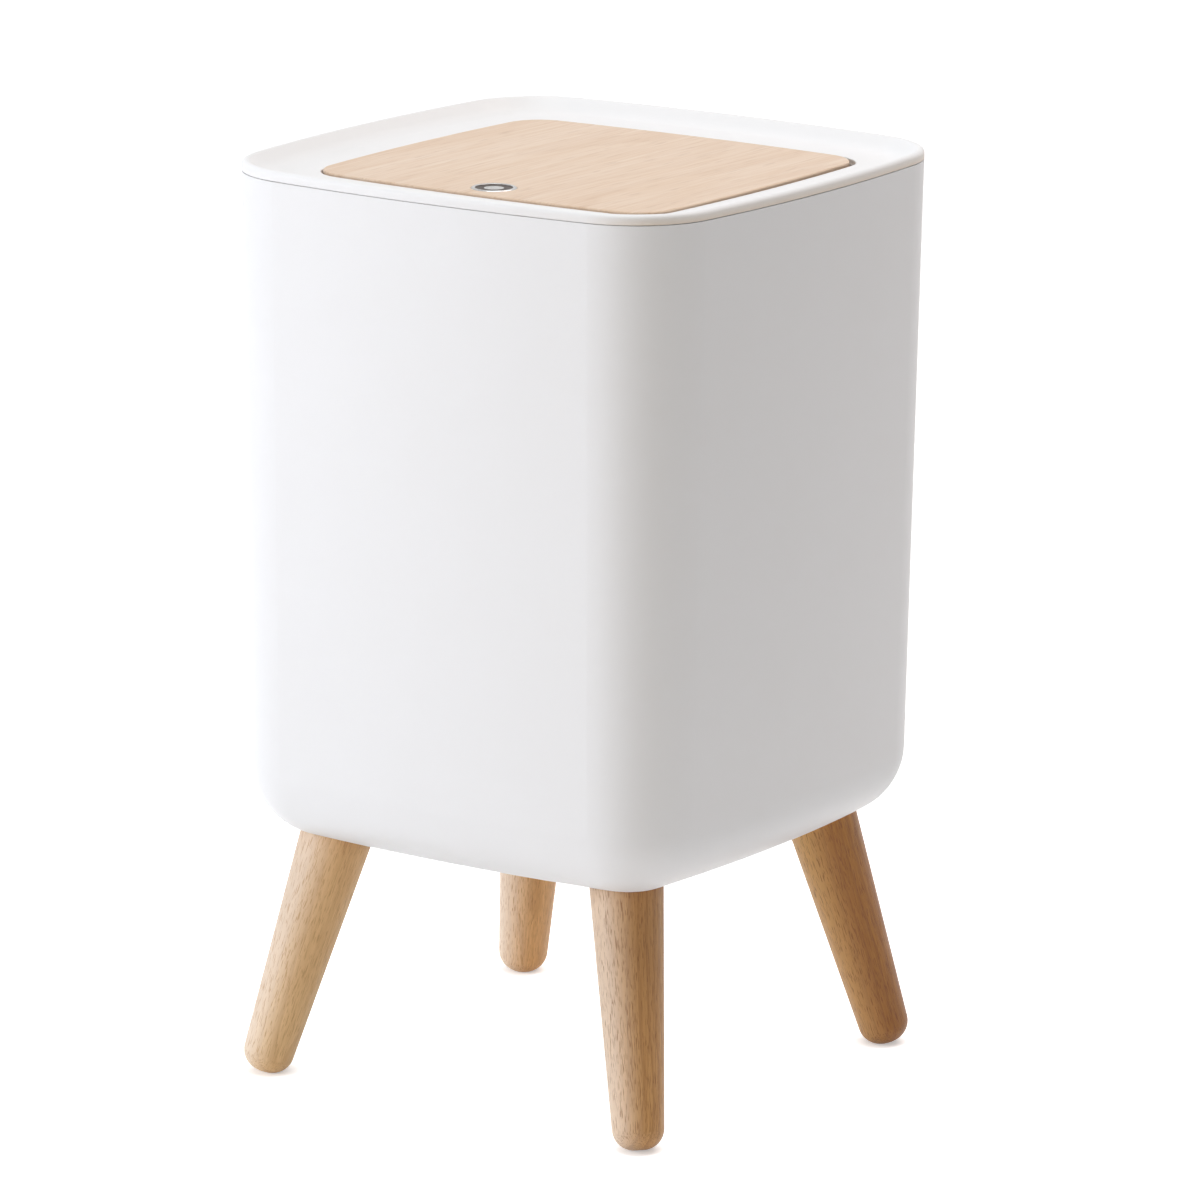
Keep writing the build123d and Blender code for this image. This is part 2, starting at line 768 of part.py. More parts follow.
def strike_plate():
    """The steel plate that the latch's magnet holds."""
    half_x = strike_width / 2
    y_range = (latch_y - strike_length / 2, latch_y + strike_length / 2)
    plate = block((-half_x, half_x), y_range, (strike_underside, strike_seat))
    plate = fillet(plate.edges().filter_by(Axis.Z), strike_corner)
    for x in strike_screw_sides:
        plate -= upright(screw_radius + screw_play, strike_underside, strike_seat, x, latch_y)
    return plate


def strike_screws():
    """Two screws through the strike plate and the carrier into the board."""
    through = strike_thickness + strike_pad_height + carrier_thickness
    screw = pan_screw(strike_head_height, through + screw_in_board)
    return Compound(children=[Pos(x, latch_y, strike_underside) * screw for x in strike_screw_sides])


# The whole bin, one file for each node
nodes = {
    "bucket": bucket(),
    "leg_inserts": Compound(children=[leg_insert(plane) for plane in leg_planes.values()]),
    "leg_studs": Compound(children=[leg_stud(plane) for plane in leg_planes.values()]),
    "cover_ring": cover_ring(),
    "lid_frame": lid_frame(),
    "frame_screws": frame_screws(),
    "latch_housing": latch_housing(),
    "latch_screws": latch_screws(),
    "latch_spring": latch_spring(),
    "latch_plunger": latch_plunger(),
    "latch_magnet": latch_magnet(),
    "damper_body": damper_body(),
    "damper_cap": damper_cap(),
    "damper_rotor": damper_rotor(),
    "hinge_pin": hinge_pin(),
    "pin_clip": pin_clip(),
    "lid_spring": lid_spring(),
    "lid_board": lid_board(),
    "lid_carrier": lid_carrier(),
    "carrier_screws": carrier_screws(),
    "press_mark": press_mark(),
    "strike_plate": strike_plate(),
    "strike_screws": strike_screws(),
}
for name, plane in leg_planes.items():
    nodes["leg_" + name] = leg(plane)

for name, solid in nodes.items():
    export_step(solid, f"parts/{name}.step")
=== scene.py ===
import bmesh
import bpy
import math
from mathutils import Matrix, Vector


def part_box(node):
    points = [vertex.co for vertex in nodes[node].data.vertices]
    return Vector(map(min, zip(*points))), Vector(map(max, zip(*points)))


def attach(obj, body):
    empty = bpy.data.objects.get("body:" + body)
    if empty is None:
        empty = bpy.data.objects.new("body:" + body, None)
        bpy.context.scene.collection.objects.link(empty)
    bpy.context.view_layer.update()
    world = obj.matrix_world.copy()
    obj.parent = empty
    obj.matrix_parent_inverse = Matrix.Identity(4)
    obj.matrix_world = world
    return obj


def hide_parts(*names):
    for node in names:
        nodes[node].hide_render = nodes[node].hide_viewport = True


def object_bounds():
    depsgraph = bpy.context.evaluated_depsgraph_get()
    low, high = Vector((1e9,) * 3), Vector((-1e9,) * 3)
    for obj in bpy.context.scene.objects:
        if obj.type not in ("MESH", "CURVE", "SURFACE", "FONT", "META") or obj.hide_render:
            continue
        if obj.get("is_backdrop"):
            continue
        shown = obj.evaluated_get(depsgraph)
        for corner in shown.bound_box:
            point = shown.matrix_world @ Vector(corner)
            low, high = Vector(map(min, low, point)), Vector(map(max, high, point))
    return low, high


# A square push-to-open bathroom bin: white bucket and cover, pale wooden lid, four splayed oak legs.
# Metres throughout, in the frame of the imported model, which gives every piece its place.
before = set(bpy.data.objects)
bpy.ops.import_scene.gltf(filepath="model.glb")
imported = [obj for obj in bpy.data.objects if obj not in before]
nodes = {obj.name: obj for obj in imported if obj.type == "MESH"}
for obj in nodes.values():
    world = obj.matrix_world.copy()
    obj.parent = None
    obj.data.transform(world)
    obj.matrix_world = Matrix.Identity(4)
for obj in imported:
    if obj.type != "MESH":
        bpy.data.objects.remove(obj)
cad_low, cad_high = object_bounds()
scene = bpy.context.scene
scene.view_settings.view_transform = "Standard"


# The camera
# A long lens a few metres off, to the right of the front and a little above the rim.
# It leans very slightly to one side, as the photographed verticals do.
camera_turn = math.radians(34.15)
camera_rise = math.radians(13.48)
camera_lean = math.radians(0.47)
camera_distance = 3.3092
camera_side = 0.00806
aim_height = 0.20993
lens_length = 225.0
sensor_width = 36.0

back = Vector((
    math.sin(camera_turn) * math.cos(camera_rise),
    -math.cos(camera_turn) * math.cos(camera_rise),
    math.sin(camera_rise),
))
level_right = Vector((math.cos(camera_turn), math.sin(camera_turn), 0.0))
level_up = back.cross(level_right)
right = level_right * math.cos(camera_lean) + level_up * math.sin(camera_lean)
up = level_up * math.cos(camera_lean) - level_right * math.sin(camera_lean)

camera_data = bpy.data.cameras.new("camera")
camera_data.lens = lens_length
camera_data.sensor_width = sensor_width
camera_data.clip_end = 100.0
camera = bpy.data.objects.new("camera", camera_data)
scene.collection.objects.link(camera)
camera.matrix_world = Matrix((right, up, back)).transposed().to_4x4()
camera.location = Vector((0.0, 0.0, aim_height)) + level_right * camera_side + back * camera_distance
scene.camera = camera


# The studio
# A white floor in a pale room, with a large soft lamp at the front left and three more round it.
# Seen straight, mirrored or through glass, the room and the floor are plain white, save a contact shadow
# painted into the floor's glow round each foot.
def add_node(tree, kind, values=None, **settings):
    """One node of a tree, with its settings and the values of its open inputs."""
    made = tree.nodes.new(kind)
    for name, value in settings.items():
        setattr(made, name, value)
    for name, value in (values or {}).items():
        made.inputs[name].default_value = value
    return made


def join(tree, source, output, target, entry):
    """A link from one node's output to another's input."""
    tree.links.new(source.outputs[output], target.inputs[entry])


def put(tree, value, target, entry):
    """An input's value: a plain one, or a link where it is a (node, output) pair."""
    if isinstance(value, tuple) and isinstance(value[0], bpy.types.Node):
        join(tree, value[0], value[1], target, entry)
    else:
        target.inputs[entry].default_value = value


def combine(tree, operation, first, second=0.0):
    """A Math node on two numbers, each a plain value or a (node, output) pair."""
    made = add_node(tree, "ShaderNodeMath", operation=operation)
    put(tree, first, made, 0)
    put(tree, second, made, 1)
    return made


def seen_plainly(tree):
    """1 for a ray from the camera, or by way of a mirror or glass, and 0 for any other."""
    path = add_node(tree, "ShaderNodeLightPath")
    mirrored = combine(tree, "MAXIMUM", (path, "Is Glossy Ray"), (path, "Is Transmission Ray"))
    return combine(tree, "MAXIMUM", (path, "Is Camera Ray"), (mirrored, 0))


room_light = (1.0, 1.0, 1.0)
room_strength = 0.25
room_white = 0.992
lamp_size = 1.3
lamp_distance = 2.4
lamps = {
    "front_left_lamp": {"turn": -45, "rise": 12, "power": 29.2, "light": (0.87, 0.91, 1.0)},
    "front_lamp": {"turn": 10, "rise": 12, "power": 5.8, "light": (1.0, 0.8, 0.6)},
    "overhead_lamp": {"turn": 0, "rise": 85, "power": 22.0, "light": (0.87, 0.95, 1.0)},
    "back_right_lamp": {"turn": 150, "rise": 60, "power": 18.0, "light": (1.0, 0.86, 0.81)},
}
floor_reach = 20.0
floor_colour = (0.9, 0.9, 0.9)
floor_shade_reach = 0.007
floor_glow = {"From Min": 0.3, "From Max": 1.0, "To Min": 0.4, "To Max": 0.9}

world = bpy.data.worlds.new("room")
world.use_nodes = True
scene.world = world
tree = world.node_tree
tree.nodes.clear()
lit = add_node(tree, "ShaderNodeBackground", {"Color": (*room_light, 1.0), "Strength": room_strength})
seen = add_node(tree, "ShaderNodeBackground", {"Color": (1.0, 1.0, 1.0, 1.0), "Strength": room_white})
chosen = add_node(tree, "ShaderNodeMixShader")
join(tree, seen_plainly(tree), 0, chosen, 0)
join(tree, lit, 0, chosen, 1)
join(tree, seen, 0, chosen, 2)
join(tree, chosen, 0, add_node(tree, "ShaderNodeOutputWorld"), "Surface")

for name, lamp in lamps.items():
    turn = math.radians(lamp["turn"])
    rise = math.radians(lamp["rise"])
    lamp_from = Vector((math.sin(turn) * math.cos(rise), -math.cos(turn) * math.cos(rise), math.sin(rise)))
    lamp_data = bpy.data.lights.new(name, "AREA")
    lamp_data.shape = "DISK"
    lamp_data.size = lamp_size
    lamp_data.energy = lamp["power"]
    lamp_data.color = lamp["light"]
    lamp_object = bpy.data.objects.new(name, lamp_data)
    scene.collection.objects.link(lamp_object)
    lamp_object.location = Vector((0.0, 0.0, aim_height)) + lamp_from * lamp_distance
    lamp_object.rotation_mode = "QUATERNION"
    lamp_object.rotation_quaternion = lamp_from.to_track_quat("Z", "Y")

floor_mesh = bpy.data.meshes.new("floor")
floor_corners = [(-1, -1), (1, -1), (1, 1), (-1, 1)]
floor_points = [(x * floor_reach, y * floor_reach, 0.0) for x, y in floor_corners]
floor_mesh.from_pydata(floor_points, [], [(0, 1, 2, 3)])
floor = bpy.data.objects.new("floor", floor_mesh)
scene.collection.objects.link(floor)
floor_finish = bpy.data.materials.new("floor_white")
floor_finish.use_nodes = True
tree = floor_finish.node_tree
tree.nodes.clear()
# Painted shadow: the floor's glow fades where ambient occlusion finds the object close, a contact shadow
# round each foot.
closeness = add_node(tree, "ShaderNodeAmbientOcclusion", {"Distance": floor_shade_reach}, samples=8)
openness = add_node(tree, "ShaderNodeMapRange", floor_glow)
join(tree, closeness, "AO", openness, "Value")
glow = combine(tree, "MULTIPLY", (seen_plainly(tree), 0), (openness, 0))
plain = add_node(tree, "ShaderNodeBsdfDiffuse", {"Color": (*floor_colour, 1.0)})
white = add_node(tree, "ShaderNodeEmission", {"Color": (1.0, 1.0, 1.0, 1.0)})
join(tree, glow, 0, white, "Strength")
both = add_node(tree, "ShaderNodeAddShader")
join(tree, plain, 0, both, 0)
join(tree, white, 0, both, 1)
join(tree, both, 0, add_node(tree, "ShaderNodeOutputMaterial"), "Surface")
floor_mesh.materials.append(floor_finish)
floor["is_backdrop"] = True


# The bucket
# One injection moulding in white polypropylene with bowed, drafted walls and a large round below.
# Its skin is satin, with a very fine spark texture and the faintest unevenness in its gloss.
def new_group(name, tree_kind, inputs, outputs):
    """An empty node group with named sockets, and its two end nodes."""
    group = bpy.data.node_groups.new(name, tree_kind)
    for label, kind, value in inputs:
        socket = group.interface.new_socket(label, in_out="INPUT", socket_type="NodeSocket" + kind)
        if value is not None:
            socket.default_value = value
    for label, kind in outputs:
        group.interface.new_socket(label, in_out="OUTPUT", socket_type="NodeSocket" + kind)
    return group, add_node(group, "NodeGroupInput"), add_node(group, "NodeGroupOutput")


def noise(tree, source, output, scale, detail=2.0, roughness=0.5):
    """A noise texture on a vector, with a plain scale or a (node, output) pair for it."""
    made = add_node(tree, "ShaderNodeTexNoise", {"Detail": detail, "Roughness": roughness})
    join(tree, source, output, made, "Vector")
    put(tree, scale, made, "Scale")
    return made


def spread(tree, value, low, high, to_low=0.0, to_high=1.0, kind="LINEAR"):
    """A number carried from one span to another and held inside it, each a plain value or a pair."""
    made = add_node(tree, "ShaderNodeMapRange", interpolation_type=kind)
    ends = {"Value": value, "From Min": low, "From Max": high, "To Min": to_low, "To Max": to_high}
    for label, end in ends.items():
        put(tree, end, made, label)
    return made


def on_vectors(tree, operation, first, second=None):
    """A Vector Math node on one or two vectors, each a plain vector or a (node, output) pair."""
    made = add_node(tree, "ShaderNodeVectorMath", operation=operation)
    put(tree, first, made, 0)
    if second is not None:
        put(tree, second, made, 1)
    return made


def coordinates(tree, value):
    """The three coordinates of a vector."""
    made = add_node(tree, "ShaderNodeSeparateXYZ")
    put(tree, value, made, 0)
    return made


def blend_colours(tree, amount, first, second, kind="MIX"):
    """A Mix node on two colours, each a plain colour or a (node, output) pair."""
    made = add_node(tree, "ShaderNodeMix", data_type="RGBA", blend_type=kind)
    for entry, value in ((0, amount), (6, first), (7, second)):
        put(tree, value, made, entry)
    return made


surface_outputs = [("Colour", "Color"), ("Roughness", "Float"), ("Height", "Float")]
moulded, entry, result = new_group(
    "moulded_plastic",
    "ShaderNodeTree",
    [
        ("Vector", "Vector", None),
        ("Colour", "Color", (0.9, 0.9, 0.9, 1.0)),
        ("Shade", "Color", (0.86, 0.86, 0.86, 1.0)),
        ("Grain Scale", "Float", 2600.0),
        ("Gloss Low", "Float", 0.4),
        ("Gloss High", "Float", 0.5),
        ("Edge Tint", "Color", (1.0, 1.0, 1.0, 1.0)),
        ("Reflection Bottom", "Float", 0.0),
        ("Reflection Top", "Float", 0.001),
        ("Reflection Side", "Vector", None),
    ],
    surface_outputs,
)
flow_height = 0.6
flow = noise(moulded, entry, "Vector", 14.0, 3.0)
tone = spread(moulded, (flow, "Fac"), 0.35, 0.65)
grain = noise(moulded, entry, "Vector", (entry, "Grain Scale"), 2.0, 0.6)
mottle = noise(moulded, entry, "Vector", 180.0, 3.0)
colour = blend_colours(moulded, (tone, 0), (entry, "Colour"), (entry, "Shade"))
height = coordinates(moulded, (entry, "Vector"))
skin = add_node(moulded, "ShaderNodeTexCoord")
# Painted warm reflection: on the chosen side, the outer face below the top of the band is tinted warm and a
# little darker.
above = combine(moulded, "GREATER_THAN", (height, "Z"), (entry, "Reflection Bottom"))
fade = spread(moulded, (height, "Z"), (entry, "Reflection Bottom"), (entry, "Reflection Top"), 1.0, 0.0)
level_place = on_vectors(moulded, "MULTIPLY", (entry, "Vector"), (1.0, 1.0, 0.0))
outward = on_vectors(moulded, "DOT_PRODUCT", (level_place, 0), (skin, "Normal"))
outer = combine(moulded, "GREATER_THAN", (outward, "Value"))
toward_reflection = on_vectors(moulded, "DOT_PRODUCT", (skin, "Normal"), (entry, "Reflection Side"))
edge = spread(moulded, (toward_reflection, "Value"), 0.0, 0.7)
for mask in (above, fade, outer):
    edge = combine(moulded, "MULTIPLY", (edge, 0), (mask, 0))
reflection_tinted = blend_colours(moulded, (edge, 0), (colour, 2), (entry, "Edge Tint"), "MULTIPLY")
join(moulded, reflection_tinted, 2, result, "Colour")
gloss = spread(moulded, (mottle, "Fac"), 0.3, 0.7, (entry, "Gloss Low"), (entry, "Gloss High"))
join(moulded, gloss, 0, result, "Roughness")
waves = combine(moulded, "MULTIPLY", (flow, "Fac"), flow_height)
join(moulded, combine(moulded, "ADD", (grain, "Fac"), (waves, 0)), 0, result, "Height")


def finish_from_group(
    name, group, values, bump, bump_depth, principled=None, turn=(0, 0, 0), centre=(0, 0, 0)
):
    """A material on object coordinates, with a shared group for its colour, roughness and relief."""
    material = bpy.data.materials.new(name)
    material.use_nodes = True
    tree = material.node_tree
    tree.nodes.clear()
    place = add_node(tree, "ShaderNodeTexCoord")
    turned = add_node(tree, "ShaderNodeMapping", {"Location": centre, "Rotation": turn})
    effect = add_node(tree, "ShaderNodeGroup", node_tree=group)
    for label, value in values.items():
        socket = effect.inputs[label]
        socket.default_value = (*value, 1.0) if socket.type == "RGBA" else value
    relief = add_node(tree, "ShaderNodeBump", {"Strength": bump, "Distance": bump_depth})
    shader = add_node(tree, "ShaderNodeBsdfPrincipled", principled)
    join(tree, place, "Object", turned, "Vector")
    join(tree, turned, "Vector", effect, "Vector")
    join(tree, effect, "Colour", shader, "Base Color")
    join(tree, effect, "Roughness", shader, "Roughness")
    join(tree, effect, "Height", relief, "Height")
    join(tree, relief, "Normal", shader, "Normal")
    join(tree, shader, 0, add_node(tree, "ShaderNodeOutputMaterial"), "Surface")
    return material


def paint(material, *names):
    """The material on CAD nodes, in every slot they have."""
    for name in names:
        for slot in nodes[name].material_slots:
            slot.material = material


bucket_white = finish_from_group(
    "bucket_white",
    moulded,
    {"Colour": (0.9, 0.9, 0.9), "Shade": (0.893, 0.892, 0.89), "Gloss Low": 0.42, "Gloss High": 0.5},
    bump=0.12,
    bump_depth=0.00004,
    principled={"Specular IOR Level": 0.35},
)
paint(bucket_white, "bucket")


# The legs
# Four turned legs in light oak, tapered, with domed tips, sanded and lacquered matt.
# The grain runs down each leg and each is cut from another part of the plank; their colours also carry
# painted light.
wood, entry, result = new_group(
    "sawn_wood",
    "ShaderNodeTree",
    [
        ("Vector", "Vector", None),
        ("Pale", "Color", (0.7, 0.5, 0.33, 1.0)),
        ("Warm", "Color", (0.6, 0.4, 0.24, 1.0)),
        ("Line", "Color", (0.45, 0.27, 0.15, 1.0)),
        ("Pore", "Color", (0.2, 0.11, 0.06, 1.0)),
        ("Heart", "Vector", (0.03, 0.0, -0.05)),
        ("Ring Count", "Float", 300.0),
        ("Ring Contrast", "Float", 0.5),
        ("Streak Scale", "Float", 300.0),
        ("Fibre Scale", "Float", 1100.0),
        ("Fibre Contrast", "Float", 0.3),
        ("Pore Scale", "Float", 1500.0),
        ("Pore Cut", "Float", 0.62),
        ("Pore Contrast", "Float", 0.7),
        ("Painted Sheen", "Color", (0.8, 0.65, 0.5, 1.0)),
        ("Sheen Side", "Vector", (1.0, 0.0, 0.0)),
        ("Sheen Start", "Float", 1.0),
        ("Sheen Full", "Float", 2.0),
        ("Painted Seat Shading", "Color", (1.0, 1.0, 1.0, 1.0)),
        ("Seat Fade Start", "Float", 0.0),
        ("Seat Band Start", "Float", 1.0),
        ("Seat Shading End", "Float", 2.0),
        ("Gloss Low", "Float", 0.45),
        ("Gloss High", "Float", 0.6),
    ],
    surface_outputs,
)


def stretched(tree, source, output, along):
    """A vector whose z counts less, so that a pattern on it is drawn out along the grain."""
    made = add_node(tree, "ShaderNodeMapping", {"Scale": (1.0, 1.0, along)})
    join(tree, source, output, made, "Vector")
    return made


drawn = stretched(wood, entry, "Vector", 0.05)
bent = stretched(wood, entry, "Vector", 0.35)
fibre_line = stretched(wood, entry, "Vector", 0.03)
pore_line = stretched(wood, entry, "Vector", 0.06)

ring_wander = 0.012
sheen_strength = 0.82
groove_depth = 0.3
wander = noise(wood, bent, "Vector", 30.0, 2.0)
from_heart = on_vectors(wood, "ADD", (entry, "Vector"), (entry, "Heart"))
across = on_vectors(wood, "MULTIPLY", (from_heart, 0), (1.0, 1.0, 0.0))
distance = on_vectors(wood, "LENGTH", (across, 0))
shift = combine(wood, "MULTIPLY", (wander, "Fac"), ring_wander)
radius = combine(wood, "ADD", (distance, "Value"), (shift, 0))
ring_number = combine(wood, "MULTIPLY", (radius, 0), (entry, "Ring Count"))
ring = combine(wood, "FRACT", (ring_number, 0))
late = add_node(wood, "ShaderNodeValToRGB")
late.color_ramp.elements[0].color = (0.0, 0.0, 0.0, 1.0)
late.color_ramp.elements[1].position = 0.9
late.color_ramp.elements[1].color = (1.0, 1.0, 1.0, 1.0)
for place, grey in ((0.99, 0.0), (0.55, 0.2)):
    late.color_ramp.elements.new(place).color = (grey, grey, grey, 1.0)
join(wood, ring, 0, late, "Fac")

broad = spread(wood, (noise(wood, drawn, "Vector", 60.0, 3.0), "Fac"), 0.35, 0.65)
streak_noise = noise(wood, drawn, "Vector", (entry, "Streak Scale"), 3.0, 0.6)
streaks = spread(wood, (streak_noise, "Fac"), 0.35, 0.65)
warmth = combine(wood, "MULTIPLY", (combine(wood, "ADD", (broad, 0), (streaks, 0)), 0), 0.5)
fibre_noise = noise(wood, fibre_line, "Vector", (entry, "Fibre Scale"), 3.0, 0.6)
fibres = spread(wood, (fibre_noise, "Fac"), 0.35, 0.7)
pore_noise = noise(wood, pore_line, "Vector", (entry, "Pore Scale"), 1.0)
pore_depth = combine(wood, "SUBTRACT", (pore_noise, "Fac"), (entry, "Pore Cut"))
pores = spread(wood, (pore_depth, 0), 0.0, 0.07)

toned = blend_colours(wood, (warmth, 0), (entry, "Pale"), (entry, "Warm"))
ring_share = combine(wood, "MULTIPLY", (late, "Color"), (entry, "Ring Contrast"))
ringed = blend_colours(wood, (ring_share, 0), (toned, 2), (entry, "Line"))
fibre_share = combine(wood, "MULTIPLY", (fibres, 0), (entry, "Fibre Contrast"))
fibred = blend_colours(wood, (fibre_share, 0), (ringed, 2), (entry, "Line"))
# Painted sheen: on one side of each leg the oak is blended towards a paler colour, standing in for a lit
# sheen.
toward_sheen = on_vectors(wood, "DOT_PRODUCT", (entry, "Vector"), (entry, "Sheen Side"))
sheen_ends = ((entry, "Sheen Start"), (entry, "Sheen Full"))
sheen_share = spread(wood, (toward_sheen, "Value"), *sheen_ends, 0.0, sheen_strength, "SMOOTHSTEP")
sheened = blend_colours(wood, (sheen_share, 0), (fibred, 2), (entry, "Painted Sheen"))
pore_share = combine(wood, "MULTIPLY", (pores, 0), (entry, "Pore Contrast"))
pored = blend_colours(wood, (pore_share, 0), (sheened, 2), (entry, "Pore"))

# Painted shade: towards the seat under the bucket the oak's colour is multiplied by a tone, over a long fade
# and a short band; a tone above one paints light there instead.
height = coordinates(wood, (entry, "Vector"))
seat_fade = spread(wood, (height, "Z"), (entry, "Seat Fade Start"), (entry, "Seat Shading End"))
shoulder_ends = ((entry, "Seat Band Start"), (entry, "Seat Shading End"))
shoulder = spread(wood, (height, "Z"), *shoulder_ends, kind="SMOOTHSTEP")
seat_shading_share = combine(wood, "MULTIPLY", (combine(wood, "ADD", (shoulder, 0), (seat_fade, 0)), 0), 0.5)
seat_shaded = blend_colours(wood, (seat_shading_share, 0), (pored, 2), (entry, "Painted Seat Shading"), "MULTIPLY")
join(wood, seat_shaded, 2, result, "Colour")
gloss = spread(wood, (fibres, 0), 0.0, 1.0, (entry, "Gloss Low"), (entry, "Gloss High"))
join(wood, gloss, 0, result, "Roughness")
hollow = combine(wood, "MULTIPLY", (pores, 0), -1.0)
groove = combine(wood, "MULTIPLY", (fibres, 0), -groove_depth)
join(wood, combine(wood, "ADD", (hollow, 0), (groove, 0)), 0, result, "Height")


same_point = 1e-7
closing_reach = 1e-6


def solids_of(name):
    """The separate solids of a CAD node, each as a list of its points."""
    merged = bmesh.new()
    merged.from_mesh(nodes[name].data)
    bmesh.ops.remove_doubles(merged, verts=merged.verts, dist=same_point)
    found = set()
    solids = []
    for start in merged.verts:
        if start in found:
            continue
        found.add(start)
        solid = [start]
        for vertex in solid:
            for edge in vertex.link_edges:
                neighbour = edge.other_vert(vertex)
                if neighbour not in found:
                    found.add(neighbour)
                    solid.append(neighbour)
        solids.append([vertex.co.copy() for vertex in solid])
    merged.free()
    return solids


def middle(points):
    """The mean of some points."""
    return sum(points, Vector()) / len(points)


def reach_from(points, origin, direction):
    """How far along a line each point lies, and how far from it."""
    along = [(point - origin).dot(direction) for point in points]
    return [(s, (point - origin - direction * s).length) for s, point in zip(along, points)]


def shape(tree, mesh, x, y, z):
    """A mesh with its points moved, each coordinate a number or a (node, output) pair."""
    place = add_node(tree, "ShaderNodeCombineXYZ")
    for entry, value in enumerate((x, y, z)):
        put(tree, value, place, entry)
    moved = add_node(tree, "GeometryNodeSetPosition")
    put(tree, mesh, moved, "Geometry")
    join(tree, place, 0, moved, "Position")
    return moved


def finish_tree(tree, mesh, crease, finish, result):
    """The end of every tree here: closed poles, creased edges, real meshes and their material."""
    whole = add_node(tree, "GeometryNodeRealizeInstances")
    put(tree, mesh, whole, 0)
    closed = add_node(tree, "GeometryNodeMergeByDistance", {"Distance": closing_reach})
    join(tree, whole, 0, closed, 0)
    smooth = add_node(tree, "GeometryNodeSetShadeSmooth", {"Shade Smooth": True})
    join(tree, closed, 0, smooth, 0)
    angle = add_node(tree, "GeometryNodeInputMeshEdgeAngle")
    sharp = add_node(tree, "FunctionNodeCompare", {"B": crease}, data_type="FLOAT", operation="GREATER_THAN")
    join(tree, angle, "Unsigned Angle", sharp, "A")
    creased = add_node(tree, "GeometryNodeSetShadeSmooth", {"Shade Smooth": False}, domain="EDGE")
    join(tree, smooth, 0, creased, 0)
    join(tree, sharp, 0, creased, "Selection")
    painted = add_node(tree, "GeometryNodeSetMaterial")
    join(tree, creased, 0, painted, 0)
    put(tree, finish, painted, "Material")
    join(tree, painted, 0, result, 0)


def grow(name, tree, points, values, directions=None):
    """A new piece whose plain mesh a geometry tree makes once, on some points and from its named inputs."""
    start = bpy.data.meshes.new(name + "_start")
    start.from_pydata(points, [], [])
    if directions:
        attribute = start.attributes.new("direction", "FLOAT_VECTOR", "POINT")
        for item, direction in zip(attribute.data, directions):
            item.vector = direction
    piece = bpy.data.objects.new(name, start)
    scene.collection.objects.link(piece)
    maker = piece.modifiers.new("shape", "NODES")
    maker.node_group = tree
    for socket in tree.interface.items_tree:
        if socket.name in values:
            maker[socket.identifier] = values[socket.name]
    made = bpy.data.meshes.new_from_object(piece.evaluated_get(bpy.context.evaluated_depsgraph_get()))
    piece.modifiers.remove(maker)
    for index in reversed(range(len(made.materials))):
        if made.materials[index] is None:
            made.materials.pop(index=index)
    piece.data = made
    return piece


def stand_for(piece, body, slot, *names):
    """A new piece takes the place and the body of CAD nodes, which are hidden. The slot is not used."""
    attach(piece, body)
    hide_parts(*names)


leg_tree, entry, result = new_group(
    "turned_leg",
    "GeometryNodeTree",
    [
        ("Geometry", "Geometry", None),
        ("Seat", "Vector", (0.0, 0.0, 0.11)),
        ("Tip", "Vector", None),
        ("Seat Radius", "Float", 0.016),
        ("Tip Radius", "Float", 0.011),
        ("Tip Round", "Float", 0.009),
        ("Seat Ease", "Float", 0.0007),
        ("Bore Radius", "Float", 0.004),
        ("Bore End", "Vector", (0.0, 0.0, 0.08)),
        ("Bore Mouth", "Vector", (0.0, 0.0, 0.12)),
        ("Rings", "Int", 110),
        ("Sides", "Int", 96),
        ("Finish", "Material", None),
    ],
    [("Geometry", "Geometry")],
)
axis = add_node(leg_tree, "GeometryNodeCurvePrimitiveLine")
join(leg_tree, entry, "Tip", axis, "Start")
join(leg_tree, entry, "Seat", axis, "End")
rings = add_node(leg_tree, "GeometryNodeResampleCurve")
join(leg_tree, axis, 0, rings, "Curve")
join(leg_tree, entry, "Rings", rings, "Count")
even_share = add_node(leg_tree, "GeometryNodeSplineParameter")
share = spread(leg_tree, (even_share, "Factor"), 0.0, 1.0, kind="SMOOTHSTEP")
length = on_vectors(leg_tree, "DISTANCE", (entry, "Seat"), (entry, "Tip"))
from_tip = combine(leg_tree, "MULTIPLY", (share, 0), (length, "Value"))
from_seat = combine(leg_tree, "SUBTRACT", (length, "Value"), (from_tip, 0))
side = spread(leg_tree, (share, 0), 0.0, 1.0, (entry, "Tip Radius"), (entry, "Seat Radius"))
inside_round = combine(leg_tree, "SUBTRACT", (entry, "Tip Round"), (from_tip, 0))
short_of = combine(leg_tree, "MAXIMUM", (inside_round, 0))
gap_squared = combine(leg_tree, "POWER", (short_of, 0), 2.0)
round_squared = combine(leg_tree, "POWER", (entry, "Tip Round"), 2.0)
bulge_squared = combine(leg_tree, "SUBTRACT", (round_squared, 0), (gap_squared, 0))
bulge = combine(leg_tree, "SQRT", (bulge_squared, 0))
core = combine(leg_tree, "SUBTRACT", (side, 0), (entry, "Tip Round"))
inside_ease = combine(leg_tree, "SUBTRACT", (entry, "Seat Ease"), (from_seat, 0))
eased = combine(leg_tree, "MAXIMUM", (inside_ease, 0))
full = combine(leg_tree, "ADD", (core, 0), (bulge, 0))
leg_radius = combine(leg_tree, "SUBTRACT", (full, 0), (eased, 0))
turned = add_node(leg_tree, "GeometryNodeSetCurveRadius")
join(leg_tree, rings, 0, turned, "Curve")
join(leg_tree, leg_radius, 0, turned, "Radius")
crowded = add_node(leg_tree, "ShaderNodeMix", data_type="VECTOR")
join(leg_tree, share, 0, crowded, 0)
join(leg_tree, entry, "Tip", crowded, 4)
join(leg_tree, entry, "Seat", crowded, 5)
spaced = add_node(leg_tree, "GeometryNodeSetPosition")
